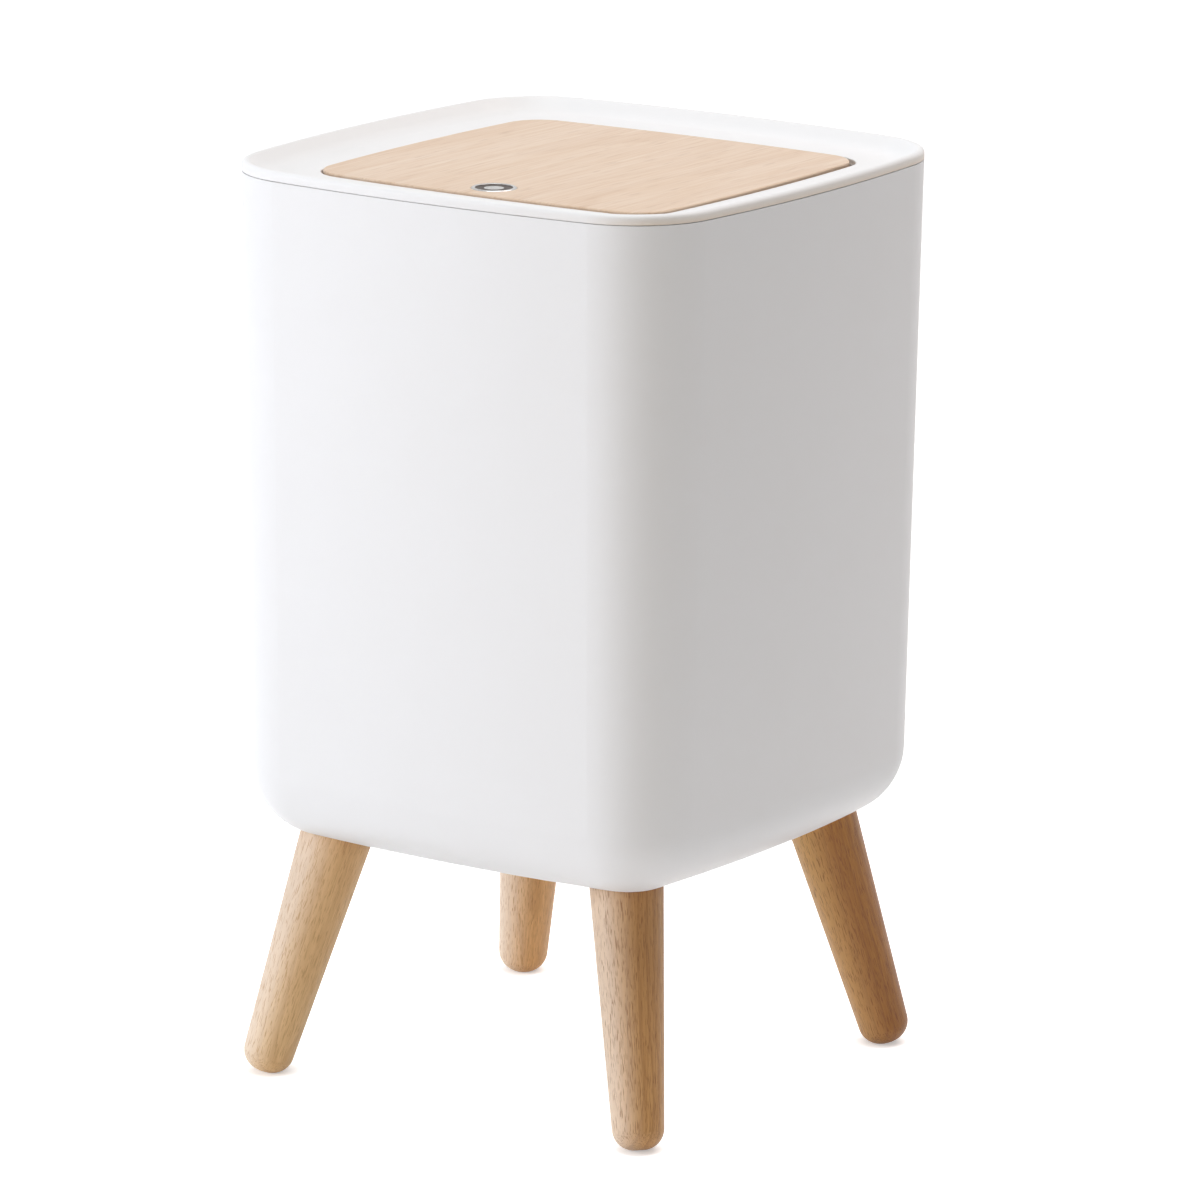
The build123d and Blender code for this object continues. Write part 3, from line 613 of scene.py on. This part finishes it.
join(leg_tree, turned, 0, spaced, "Geometry")
join(leg_tree, crowded, 1, spaced, "Position")
circle = add_node(leg_tree, "GeometryNodeCurvePrimitiveCircle", {"Radius": 1.0})
join(leg_tree, entry, "Sides", circle, "Resolution")
wood_blank = add_node(leg_tree, "GeometryNodeCurveToMesh", {"Fill Caps": True})
join(leg_tree, spaced, 0, wood_blank, "Curve")
join(leg_tree, circle, 0, wood_blank, "Profile Curve")
join(leg_tree, add_node(leg_tree, "GeometryNodeInputRadius"), 0, wood_blank, "Scale")
point = coordinates(leg_tree, (add_node(leg_tree, "GeometryNodeInputPosition"), 0))
above_floor = combine(leg_tree, "MAXIMUM", (point, "Z"), 0.0)
level = shape(leg_tree, (wood_blank, 0), (point, "X"), (point, "Y"), (above_floor, 0))
bore_axis = add_node(leg_tree, "GeometryNodeCurvePrimitiveLine")
join(leg_tree, entry, "Bore End", bore_axis, "Start")
join(leg_tree, entry, "Bore Mouth", bore_axis, "End")
bore_circle = add_node(leg_tree, "GeometryNodeCurvePrimitiveCircle", {"Resolution": 32})
join(leg_tree, entry, "Bore Radius", bore_circle, "Radius")
bore = add_node(leg_tree, "GeometryNodeCurveToMesh", {"Fill Caps": True})
join(leg_tree, bore_axis, 0, bore, "Curve")
join(leg_tree, bore_circle, 0, bore, "Profile Curve")
bored = add_node(leg_tree, "GeometryNodeMeshBoolean", operation="DIFFERENCE", solver="EXACT")
join(leg_tree, level, 0, bored, "Mesh 1")
join(leg_tree, bore, 0, bored, "Mesh 2")
crease_angle = math.radians(35)
finish_tree(leg_tree, (bored, 0), crease_angle, (entry, "Finish"), result)

same_level = 1e-5
tip_radius = 0.0109
tip_round = 0.0088
tip_cut = 0.0005
bore_overrun = 0.002
stud_lines = []
for solid in solids_of("leg_studs"):
    solid.sort(key=lambda point: point.z)
    half = len(solid) // 2
    low_end, high_end = middle(solid[:half]), middle(solid[half:])
    stud_lines.append((low_end, high_end))
    stud_radius = max(away for s, away in reach_from(solid, low_end, (high_end - low_end).normalized()))
late_wood = (0.51, 0.4, 0.3)
oak_depths = {"Pale": 0.0, "Warm": 0.35, "Line": 1.0, "Pore": 1.4}
# How far below the seat the painted shade reaches, in a short band and a long fade.
shoulder_depth = 0.016
seat_fade_depth = 0.11
# Each leg is painted paler on its side facing the front-left lamp, a painted sheen.
sheen_side = Vector((-0.83, -0.56, 0.0))
sheen_start = -0.45
sheen_full = 1.25
# Each leg's colour is partly its oak's own tone and partly painted light: the front-left and back-left legs
# are painted paler and the back-right leg darker, to match how each is lit.
leg_cuts = {
    "leg_front_left": {
        "turn": 0.6,
        "slide": 0.4,
        "colour": (0.97, 0.66, 0.33),
        "figure": 0.6,
        "sheen_colour": (0.9, 0.77, 0.64),
        "shoulder": (0.66, 0.56, 0.46),
    },
    "leg_front_right": {
        "turn": 2.3,
        "slide": 0.9,
        "colour": (0.65, 0.36, 0.125),
        "figure": 1.0,
        "sheen_colour": (0.92, 0.76, 0.6),
        "shoulder": (0.62, 0.52, 0.42),
    },
    "leg_back_left": {
        "turn": 4.1,
        "slide": 0.2,
        "colour": (0.92, 0.54, 0.215),
        "figure": 0.7,
        "sheen_colour": (0.97, 0.83, 0.68),
        "shoulder": (0.66, 0.56, 0.46),
    },
    "leg_back_right": {
        "turn": 5.2,
        "slide": 0.7,
        "colour": (0.4, 0.163, 0.022),
        "figure": 0.9,
        "sheen_colour": (0.7, 0.405, 0.155),
        "shoulder": (1.3, 1.36, 1.3),
    },
}
for name, cut in leg_cuts.items():
    points = solids_of(name)[0]
    centre = middle(points)
    low_end, high_end = min(stud_lines, key=lambda ends: (middle(ends) - centre).length)
    direction = (high_end - low_end).normalized()
    reaches = reach_from(points, low_end, direction)
    seat_along = max(s for s, away in reaches)
    seat = low_end + direction * seat_along
    seat_radius = max(away for s, away in reaches if seat_along - s < same_level)
    bore_points = [(s, away) for s, away in reaches if away < tip_radius / 2 and s > -bore_overrun]
    bore_end = low_end + direction * min(s for s, away in bore_points)
    tilt = direction.angle(Vector((0.0, 0.0, 1.0)))
    round_height = tip_round + (tip_radius - tip_round) * math.sin(tilt) - tip_cut
    tip = seat - direction * ((seat.z - round_height) / direction.z + tip_round)
    upright = direction.rotation_difference(Vector((0.0, 0.0, 1.0))).to_matrix()
    along_grain = Matrix.Rotation(cut["turn"], 3, "Z") @ upright
    outward = (sheen_side - direction * sheen_side.dot(direction)).normalized()
    tones = {}
    for label, depth in oak_depths.items():
        shares = [share ** (depth * cut["figure"]) for share in late_wood]
        tones[label] = [part * share for part, share in zip(cut["colour"], shares)]
    oak = finish_from_group(
        name + "_oak",
        wood,
        {
            **tones,
            "Heart": (0.035, 0.01, 0.0),
            "Ring Count": 240.0,
            "Ring Contrast": 0.5,
            "Streak Scale": 420.0,
            "Fibre Scale": 1500.0,
            "Fibre Contrast": 0.48,
            "Pore Scale": 2600.0,
            "Pore Cut": 0.575,
            "Pore Contrast": 0.65,
            "Painted Sheen": cut["sheen_colour"],
            "Sheen Side": along_grain @ outward,
            "Sheen Start": sheen_start * tip_radius,
            "Sheen Full": sheen_full * tip_radius,
            "Painted Seat Shading": cut["shoulder"],
            "Seat Fade Start": cut["slide"] - seat_fade_depth,
            "Seat Band Start": cut["slide"] - shoulder_depth,
            "Seat Shading End": cut["slide"],
            "Gloss Low": 0.42,
            "Gloss High": 0.56,
        },
        bump=0.35,
        bump_depth=0.00012,
        principled={"Specular IOR Level": 0.5},
        turn=tuple(along_grain.to_euler()),
        centre=Vector((0.0, 0.0, cut["slide"])) - along_grain @ seat,
    )
    leg = grow(
        name + "_turned",
        leg_tree,
        [],
        {
            "Seat": seat,
            "Tip": tip,
            "Seat Radius": seat_radius,
            "Tip Radius": tip_radius,
            "Tip Round": tip_round,
            "Bore Radius": max(away for s, away in bore_points),
            "Bore End": bore_end,
            "Bore Mouth": seat + direction * bore_overrun,
            "Finish": oak,
        },
    )
    stand_for(leg, "bucket_body", "leg_wood", name)


# The leg fixings
# Zinc-plated steel studs, half in each leg, and turned brass inserts in the bucket's sockets.
# Each leg is screwed up into its insert by hand. The strike plate has the same zinc plate.
machined, entry, result = new_group(
    "machined_metal",
    "ShaderNodeTree",
    [
        ("Vector", "Vector", None),
        ("Colour", "Color", (0.7, 0.7, 0.72, 1.0)),
        ("Stain", "Color", (0.55, 0.55, 0.58, 1.0)),
        ("Streak", "Vector", (1.0, 1.0, 0.04)),
        ("Streak Scale", "Float", 2500.0),
        ("Gloss Low", "Float", 0.22),
        ("Gloss High", "Float", 0.4),
    ],
    surface_outputs,
)
streaked = on_vectors(machined, "MULTIPLY", (entry, "Vector"), (entry, "Streak"))
lines = noise(machined, streaked, 0, (entry, "Streak Scale"), 3.0, 0.6)
patches = spread(machined, (noise(machined, entry, "Vector", 260.0, 4.0), "Fac"), 0.4, 0.7)
stained = blend_colours(machined, (patches, 0), (entry, "Colour"), (entry, "Stain"))
join(machined, stained, 2, result, "Colour")
gloss = spread(machined, (lines, "Fac"), 0.3, 0.7, (entry, "Gloss Low"), (entry, "Gloss High"))
join(machined, gloss, 0, result, "Roughness")
join(machined, lines, "Fac", result, "Height")

zinc = finish_from_group(
    "zinc_plate",
    machined,
    {"Colour": (0.72, 0.72, 0.74), "Stain": (0.6, 0.6, 0.6), "Streak": (1, 1, 1), "Streak Scale": 900.0},
    bump=0.2,
    bump_depth=0.00004,
    principled={"Metallic": 1.0},
)
brass = finish_from_group(
    "turned_brass",
    machined,
    {"Colour": (0.78, 0.6, 0.3), "Stain": (0.6, 0.42, 0.2), "Streak": (0.04, 0.04, 1.0)},
    bump=0.3,
    bump_depth=0.00005,
    principled={"Metallic": 1.0},
)
paint(zinc, "strike_plate")
paint(brass, "leg_inserts")

threaded, entry, result = new_group(
    "threaded_shank",
    "GeometryNodeTree",
    [
        ("Radius", "Float", 0.0014),
        ("Length", "Float", 0.01),
        ("Pitch", "Float", 0.001),
        ("Thread Depth", "Float", 0.0003),
        ("Start Chamfer", "Float", 0.0),
        ("End Chamfer", "Float", 0.001),
        ("Sides", "Int", 20),
    ],
    [("Geometry", "Geometry")],
)
rings_per_turn = 8.0
end_slope = 0.6
turns = combine(threaded, "DIVIDE", (entry, "Length"), (entry, "Pitch"))
rod = add_node(threaded, "GeometryNodeMeshCylinder", {"Radius": 1.0, "Depth": 1.0})
join(threaded, entry, "Sides", rod, "Vertices")
join(threaded, combine(threaded, "MULTIPLY", (turns, 0), rings_per_turn), 0, rod, "Side Segments")
point = coordinates(threaded, (add_node(threaded, "GeometryNodeInputPosition"), 0))
share = combine(threaded, "ADD", (point, "Z"), 0.5)
height = combine(threaded, "MULTIPLY", (share, 0), (entry, "Length"))
heading = combine(threaded, "ARCTAN2", (point, "Y"), (point, "X"))
round_share = combine(threaded, "DIVIDE", (heading, 0), 2 * math.pi)
wound = combine(threaded, "DIVIDE", (height, 0), (entry, "Pitch"))
phase = combine(threaded, "FRACT", (combine(threaded, "SUBTRACT", (wound, 0), (round_share, 0)), 0))
doubled = combine(threaded, "MULTIPLY", (phase, 0), 2.0)
valley = combine(threaded, "ABSOLUTE", (combine(threaded, "SUBTRACT", (doubled, 0), 1.0), 0))
groove = combine(threaded, "MULTIPLY", (valley, 0), (entry, "Thread Depth"))
crest = combine(threaded, "SUBTRACT", (entry, "Radius"), (groove, 0))
left = combine(threaded, "SUBTRACT", (entry, "Length"), (height, 0))
for label, reach in (("Start Chamfer", height), ("End Chamfer", left)):
    run_out = combine(threaded, "MAXIMUM", (combine(threaded, "SUBTRACT", (entry, label), (reach, 0)), 0))
    cut = combine(threaded, "MULTIPLY", (run_out, 0), end_slope)
    crest = combine(threaded, "SUBTRACT", (crest, 0), (cut, 0))
across = combine(threaded, "MULTIPLY", (point, "X"), (crest, 0))
deep = combine(threaded, "MULTIPLY", (point, "Y"), (crest, 0))
join(threaded, shape(threaded, (rod, "Mesh"), (across, 0), (deep, 0), (height, 0)), 0, result, 0)

stud_tree, entry, result = new_group(
    "threaded_studs",
    "GeometryNodeTree",
    [
        ("Geometry", "Geometry", None),
        ("Radius", "Float", 0.004),
        ("Length", "Float", 0.04),
        ("Pitch", "Float", 0.00125),
        ("Thread Depth", "Float", 0.0007),
        ("Chamfer", "Float", 0.001),
        ("Finish", "Material", None),
    ],
    [("Geometry", "Geometry")],
)
stud = add_node(stud_tree, "GeometryNodeGroup", {"Sides": 28}, node_tree=threaded)
for label in ("Radius", "Length", "Pitch", "Thread Depth"):
    join(stud_tree, entry, label, stud, label)
join(stud_tree, entry, "Chamfer", stud, "Start Chamfer")
join(stud_tree, entry, "Chamfer", stud, "End Chamfer")
lean = add_node(stud_tree, "GeometryNodeInputNamedAttribute", {"Name": "direction"}, data_type="FLOAT_VECTOR")
turned = add_node(stud_tree, "FunctionNodeAlignRotationToVector", axis="Z")
join(stud_tree, lean, 0, turned, "Vector")
placed = add_node(stud_tree, "GeometryNodeInstanceOnPoints")
join(stud_tree, entry, "Geometry", placed, "Points")
join(stud_tree, stud, 0, placed, "Instance")
join(stud_tree, turned, 0, placed, "Rotation")
finish_tree(stud_tree, (placed, 0), crease_angle, (entry, "Finish"), result)

studs = grow(
    "leg_studs_threaded",
    stud_tree,
    [low_end for low_end, high_end in stud_lines],
    {"Radius": stud_radius, "Length": (stud_lines[0][1] - stud_lines[0][0]).length, "Finish": zinc},
    directions=[(high_end - low_end).normalized() for low_end, high_end in stud_lines],
)
stand_for(studs, "bucket_body", "zinc_steel", "leg_studs")


# The cover
# A second white moulding that rests on the bucket's rim: bead, sloping inner side, dish and skirt.
# Its polypropylene is a touch creamier than the bucket's, and a warm reflection is painted on the bead's
# lower outer edge on the right side.
bead_bottom = 0.4055
# The bead's lower outer edge on the right side carries a painted warm reflection.
cover_white = finish_from_group(
    "cover_white",
    moulded,
    {
        "Colour": (0.915, 0.91, 0.905),
        "Shade": (0.907, 0.902, 0.896),
        "Gloss Low": 0.4,
        "Gloss High": 0.48,
        "Edge Tint": (0.97, 0.86, 0.73),
        "Reflection Bottom": bead_bottom,
        "Reflection Top": bead_bottom + 0.0042,
        "Reflection Side": (1.0, 0.0, 0.0),
    },
    bump=0.12,
    bump_depth=0.00004,
    principled={"Specular IOR Level": 0.35},
)
paint(cover_white, "cover_ring")


# The lid frame
# One white moulding screwed up under the dish, with the throat, the hinge bosses and the latch's bracket.
# It was left unpolished, like the ribbed carrier under the lid board, since neither shows when shut.
frame_white = finish_from_group(
    "frame_white",
    moulded,
    {
        "Colour": (0.86, 0.86, 0.855),
        "Shade": (0.82, 0.82, 0.815),
        "Grain Scale": 1500.0,
        "Gloss Low": 0.5,
        "Gloss High": 0.62,
    },
    bump=0.25,
    bump_depth=0.00006,
    principled={"Specular IOR Level": 0.35},
)
paint(frame_white, "lid_frame", "lid_carrier")


# The latch
# A bought push-to-open catch, screwed to its bracket: a grey acetal housing with a sprung plunger.
# The plunger's tip holds a nickel-plated magnet, and both springs of the bin are bare drawn wire.
latch_grey = finish_from_group(
    "latch_grey",
    moulded,
    {
        "Colour": (0.3, 0.31, 0.32),
        "Shade": (0.27, 0.28, 0.29),
        "Grain Scale": 1800.0,
        "Gloss Low": 0.42,
        "Gloss High": 0.55,
    },
    bump=0.25,
    bump_depth=0.00005,
)
plunger_grey = finish_from_group(
    "plunger_grey",
    moulded,
    {"Colour": (0.78, 0.78, 0.77), "Shade": (0.74, 0.74, 0.73), "Gloss Low": 0.3, "Gloss High": 0.4},
    bump=0.1,
    bump_depth=0.00003,
)
nickel = finish_from_group(
    "nickel_plate",
    machined,
    {"Colour": (0.74, 0.72, 0.69), "Stain": (0.68, 0.66, 0.63), "Gloss Low": 0.12, "Gloss High": 0.2},
    bump=0.1,
    bump_depth=0.00003,
    principled={"Metallic": 1.0},
)
wire_steel = finish_from_group(
    "drawn_wire",
    machined,
    {"Colour": (0.55, 0.55, 0.57), "Stain": (0.42, 0.41, 0.4), "Gloss Low": 0.25, "Gloss High": 0.42},
    bump=0.25,
    bump_depth=0.00003,
    principled={"Metallic": 1.0},
)
paint(latch_grey, "latch_housing")
paint(plunger_grey, "latch_plunger")
paint(nickel, "latch_magnet")
paint(wire_steel, "latch_spring", "lid_spring")


# The hinge
# A ground steel pin pressed in from the right and kept by a steel clip.
# On the left the lid turns on the pale acetal shaft of a small black rotary damper.
pin_steel = finish_from_group(
    "ground_steel",
    machined,
    {"Colour": (0.68, 0.68, 0.7), "Streak": (0.05, 1.0, 1.0), "Gloss Low": 0.16, "Gloss High": 0.3},
    bump=0.15,
    bump_depth=0.00003,
    principled={"Metallic": 1.0},
)
damper_black = finish_from_group(
    "damper_black",
    moulded,
    {
        "Colour": (0.03, 0.03, 0.032),
        "Shade": (0.022, 0.022, 0.024),
        "Grain Scale": 1800.0,
        "Gloss Low": 0.4,
        "Gloss High": 0.52,
    },
    bump=0.25,
    bump_depth=0.00005,
)
paint(pin_steel, "hinge_pin", "pin_clip")
paint(damper_black, "damper_body", "damper_cap")
paint(plunger_grey, "damper_rotor")


# The lid board
# One board of pale beech, flat sawn, with its grain from front to back and its edges eased.
# It is sanded, lacquered satin and screwed to the carrier from below.
beech = finish_from_group(
    "pale_beech",
    wood,
    {
        "Pale": (0.82, 0.655, 0.51),
        "Warm": (0.77, 0.58, 0.42),
        "Line": (0.64, 0.43, 0.28),
        "Pore": (0.5, 0.31, 0.19),
        "Heart": (0.03, 0.06, 0.0),
        "Ring Count": 160.0,
        "Ring Contrast": 0.25,
        "Streak Scale": 260.0,
        "Fibre Scale": 800.0,
        "Fibre Contrast": 0.32,
        "Pore Scale": 900.0,
        "Pore Cut": 0.62,
        "Pore Contrast": 0.3,
        "Gloss Low": 0.38,
        "Gloss High": 0.5,
    },
    bump=0.15,
    bump_depth=0.00008,
    principled={"Specular IOR Level": 0.4},
    turn=(math.radians(90), 0.0, 0.0),
)
paint(beech, "lid_board")


# The screws
# Small zinc-plated pan-head screws with cross recesses, all driven upwards from below.
# They hold the lid frame to the cover, the latch to its bracket, and carrier and strike plate to the board.
screw_tree, entry, result = new_group(
    "pan_screws",
    "GeometryNodeTree",
    [
        ("Geometry", "Geometry", None),
        ("Head Radius", "Float", 0.0028),
        ("Head Height", "Float", 0.0016),
        ("Shank Radius", "Float", 0.0014),
        ("Shank Length", "Float", 0.008),
        ("Pitch", "Float", 0.0011),
        ("Thread Depth", "Float", 0.00035),
        ("Recess Length", "Float", 0.0034),
        ("Recess Width", "Float", 0.0008),
        ("Recess Depth", "Float", 0.0011),
        ("Seed", "Int", 3),
        ("Finish", "Material", None),
    ],
    [("Geometry", "Geometry")],
)
head_sides = 40
head_rings = 12
recess_top_share = 0.8
recess_taper = 0.35
blank_sizes = {"Vertices": head_sides, "Side Segments": head_rings, "Radius": 1.0, "Depth": 1.0}
blank = add_node(screw_tree, "GeometryNodeMeshCylinder", blank_sizes)
point = coordinates(screw_tree, (add_node(screw_tree, "GeometryNodeInputPosition"), 0))
below_top = combine(screw_tree, "SUBTRACT", 0.5, (point, "Z"))
quarter = combine(screw_tree, "MULTIPLY", (below_top, 0), math.pi / 2)
fullness = combine(screw_tree, "MAXIMUM", (combine(screw_tree, "COSINE", (quarter, 0)), 0))
fall = combine(screw_tree, "MAXIMUM", (combine(screw_tree, "SINE", (quarter, 0)), 0))
width_share = combine(screw_tree, "SQRT", (fullness, 0))
wide = combine(screw_tree, "MULTIPLY", (width_share, 0), (entry, "Head Radius"))
drop_share = combine(screw_tree, "SQRT", (fall, 0))
drop = combine(screw_tree, "MULTIPLY", (drop_share, 0), (entry, "Head Height"))
hung = combine(screw_tree, "MULTIPLY", (drop, 0), -1.0)
across = combine(screw_tree, "MULTIPLY", (point, "X"), (wide, 0))
deep = combine(screw_tree, "MULTIPLY", (point, "Y"), (wide, 0))
head = shape(screw_tree, (blank, "Mesh"), (across, 0), (deep, 0), (hung, 0))
closed_head = add_node(screw_tree, "GeometryNodeMergeByDistance", {"Distance": same_point})
join(screw_tree, head, 0, closed_head, 0)
bit = add_node(screw_tree, "GeometryNodeMeshBoolean", operation="DIFFERENCE", solver="EXACT")
join(screw_tree, closed_head, 0, bit, "Mesh 1")
bottom = combine(screw_tree, "MULTIPLY", (entry, "Head Height"), -1.0)
taper_share = combine(screw_tree, "MULTIPLY", (point, "Z"), recess_taper)
taper = combine(screw_tree, "SUBTRACT", recess_top_share, (taper_share, 0))
wing_height = combine(screw_tree, "MULTIPLY", (point, "Z"), (entry, "Recess Depth"))
wing_z = combine(screw_tree, "ADD", (wing_height, 0), (bottom, 0))
for sizes in (("Recess Length", "Recess Width"), ("Recess Width", "Recess Length")):
    box = add_node(screw_tree, "GeometryNodeMeshCube", {"Size": (1.0, 1.0, 2.0)})
    sides = [combine(screw_tree, "MULTIPLY", (entry, label), (taper, 0)) for label in sizes]
    spot = [combine(screw_tree, "MULTIPLY", (point, letter), (side, 0)) for letter, side in zip("XY", sides)]
    wing = shape(screw_tree, (box, "Mesh"), (spot[0], 0), (spot[1], 0), (wing_z, 0))
    join(screw_tree, wing, 0, bit, "Mesh 2")
thread = add_node(screw_tree, "GeometryNodeGroup", {"End Chamfer": 0.0012}, node_tree=threaded)
for label, target in (("Shank Radius", "Radius"), ("Shank Length", "Length")):
    join(screw_tree, entry, label, thread, target)
for label in ("Pitch", "Thread Depth"):
    join(screw_tree, entry, label, thread, label)
screw = add_node(screw_tree, "GeometryNodeJoinGeometry")
join(screw_tree, bit, 0, screw, 0)
join(screw_tree, thread, 0, screw, 0)
roll_range = {"Min": (0.0, 0.0, 0.0), "Max": (0.0, 0.0, math.pi)}
roll = add_node(screw_tree, "FunctionNodeRandomValue", roll_range, data_type="FLOAT_VECTOR")
join(screw_tree, entry, "Seed", roll, "Seed")
placed = add_node(screw_tree, "GeometryNodeInstanceOnPoints")
join(screw_tree, entry, "Geometry", placed, "Points")
join(screw_tree, screw, 0, placed, "Instance")
join(screw_tree, roll, 0, placed, "Rotation")
finish_tree(screw_tree, (placed, 0), crease_angle, (entry, "Finish"), result)

head_rim_share = 0.9
recess_share = 0.65
screw_sets = {
    "frame_screws": {"body": "cover_body", "seed": 3},
    "latch_screws": {"body": "cover_body", "seed": 5},
    "carrier_screws": {"body": "lid_body", "seed": 7},
    "strike_screws": {"body": "lid_body", "seed": 11},
}
for name, kind in screw_sets.items():
    seats = []
    for solid in solids_of(name):
        low = Vector([min(point[i] for point in solid) for i in range(3)])
        high = Vector([max(point[i] for point in solid) for i in range(3)])
        foot = Vector(((low.x + high.x) / 2, (low.y + high.y) / 2, low.z))
        reaches = reach_from(solid, foot, Vector((0.0, 0.0, 1.0)))
        head_radius = (high.x - low.x) / 2
        head_height = max(s for s, away in reaches if away > head_rim_share * head_radius)
        shank_radius = max(away for s, away in reaches if high.z - low.z - s < same_level)
        seats.append(foot + Vector((0.0, 0.0, head_height)))
    screws = grow(
        name + "_threaded",
        screw_tree,
        seats,
        {
            "Head Radius": head_radius,
            "Head Height": head_height,
            "Shank Radius": shank_radius,
            "Shank Length": high.z - low.z - head_height,
            "Recess Depth": recess_share * head_height,
            "Seed": kind["seed"],
            "Finish": zinc,
        },
    )
    stand_for(screws, kind["body"], "zinc_steel", name)


# The press mark
# A turned steel disc let into the board near the front edge, where the lid is pressed.
# Its polished rim and its low boss stand round a ring filled with dark enamel.
mark_steel = finish_from_group(
    "turned_steel",
    machined,
    {"Colour": (0.55, 0.54, 0.53), "Stain": (0.44, 0.43, 0.42), "Gloss Low": 0.2, "Gloss High": 0.32},
    bump=0.2,
    bump_depth=0.00004,
    principled={"Metallic": 1.0},
)
mark_enamel = finish_from_group(
    "dark_enamel",
    moulded,
    {
        "Colour": (0.07, 0.055, 0.048),
        "Shade": (0.09, 0.073, 0.064),
        "Grain Scale": 1200.0,
        "Gloss Low": 0.42,
        "Gloss High": 0.54,
    },
    bump=0.1,
    bump_depth=0.00003,
    principled={"Specular IOR Level": 0.15},
)
mark_tree, entry, result = new_group(
    "turned_ring",
    "GeometryNodeTree",
    [
        ("Geometry", "Geometry", None),
        ("Centre", "Vector", None),
        ("Sides", "Int", 96),
        ("Finish", "Material", None),
    ],
    [("Geometry", "Geometry")],
)
count = add_node(mark_tree, "GeometryNodeAttributeDomainSize", component="MESH")
join(mark_tree, entry, "Geometry", count, 0)
sheet = add_node(mark_tree, "GeometryNodeMeshGrid", {"Size X": 1.0, "Size Y": 1.0})
join(mark_tree, combine(mark_tree, "ADD", (entry, "Sides"), 1.0), 0, sheet, "Vertices X")
join(mark_tree, count, "Point Count", sheet, "Vertices Y")
place = add_node(mark_tree, "GeometryNodeInputPosition")
point = coordinates(mark_tree, (place, 0))
last = combine(mark_tree, "SUBTRACT", (count, "Point Count"), 1.0)
row_share = combine(mark_tree, "ADD", (point, "Y"), 0.5)
step = combine(mark_tree, "MULTIPLY", (row_share, 0), (last, 0))
traced = add_node(mark_tree, "GeometryNodeSampleIndex", data_type="FLOAT_VECTOR", domain="POINT")
join(mark_tree, entry, "Geometry", traced, "Geometry")
join(mark_tree, place, 0, traced, "Value")
join(mark_tree, combine(mark_tree, "ROUND", (step, 0)), 0, traced, "Index")
profile = coordinates(mark_tree, (traced, 0))
heading = combine(mark_tree, "MULTIPLY", (point, "X"), 2 * math.pi)
cosine = combine(mark_tree, "COSINE", (heading, 0))
sine = combine(mark_tree, "SINE", (heading, 0))
across = combine(mark_tree, "MULTIPLY", (profile, "X"), (cosine, 0))
deep = combine(mark_tree, "MULTIPLY", (profile, "X"), (sine, 0))
spun = shape(mark_tree, (sheet, "Mesh"), (across, 0), (deep, 0), (profile, "Z"))
centred = add_node(mark_tree, "GeometryNodeTransform")
join(mark_tree, spun, 0, centred, "Geometry")
join(mark_tree, entry, "Centre", centred, "Translation")
finish_tree(mark_tree, (centred, 0), crease_angle, (entry, "Finish"), result)

mark_low, mark_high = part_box("press_mark")
mark_centre = Vector(((mark_low.x + mark_high.x) / 2, (mark_low.y + mark_high.y) / 2, mark_low.z))
mark_radius = (mark_high.x - mark_low.x) / 2
mark_height = mark_high.z - mark_low.z
enamel_inside = 0.0043
enamel_outside = 0.0082
enamel_floor = 0.0005
mark_profile = [
    (0.0, mark_height - 0.00012),
    (0.0014, mark_height - 0.00014),
    (0.0026, mark_height - 0.0002),
    (0.0034, mark_height - 0.0003),
    (0.0039, mark_height - 0.00042),
    (enamel_inside, mark_height - 0.00044),
    (enamel_inside, enamel_floor),
    (enamel_outside, enamel_floor),
    (enamel_outside, mark_height - 0.00022),
    (0.0084, mark_height - 0.00008),
    (0.0088, mark_height - 0.00001),
    (0.0091, mark_height),
    (0.0094, mark_height - 0.00004),
    (0.0097, mark_height - 0.0002),
    (0.0099, mark_height - 0.00042),
    (mark_radius, mark_height - 0.0007),
    (mark_radius, 0.0),
    (0.0, 0.0),
]
enamel_profile = [
    (enamel_inside, enamel_floor),
    (enamel_inside, mark_height - 0.00044),
    (0.0047, mark_height - 0.00052),
    (0.0055, mark_height - 0.00057),
    (0.007, mark_height - 0.00055),
    (0.0078, mark_height - 0.00046),
    (enamel_outside, mark_height - 0.00034),
    (enamel_outside, enamel_floor),
    (enamel_inside, enamel_floor),
]
for name, profile, finish in (
    ("press_mark_turned", mark_profile, mark_steel),
    ("press_mark_enamel", enamel_profile, mark_enamel),
):
    points = [(radius, 0.0, height) for radius, height in profile]
    mark = grow(name, mark_tree, points, {"Centre": mark_centre, "Finish": finish})
    stand_for(mark, "lid_body", "mark_metal", "press_mark")


low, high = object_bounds()
sizes = {"cad": [list(cad_low), list(cad_high)], "visual": [list(low), list(high)]}
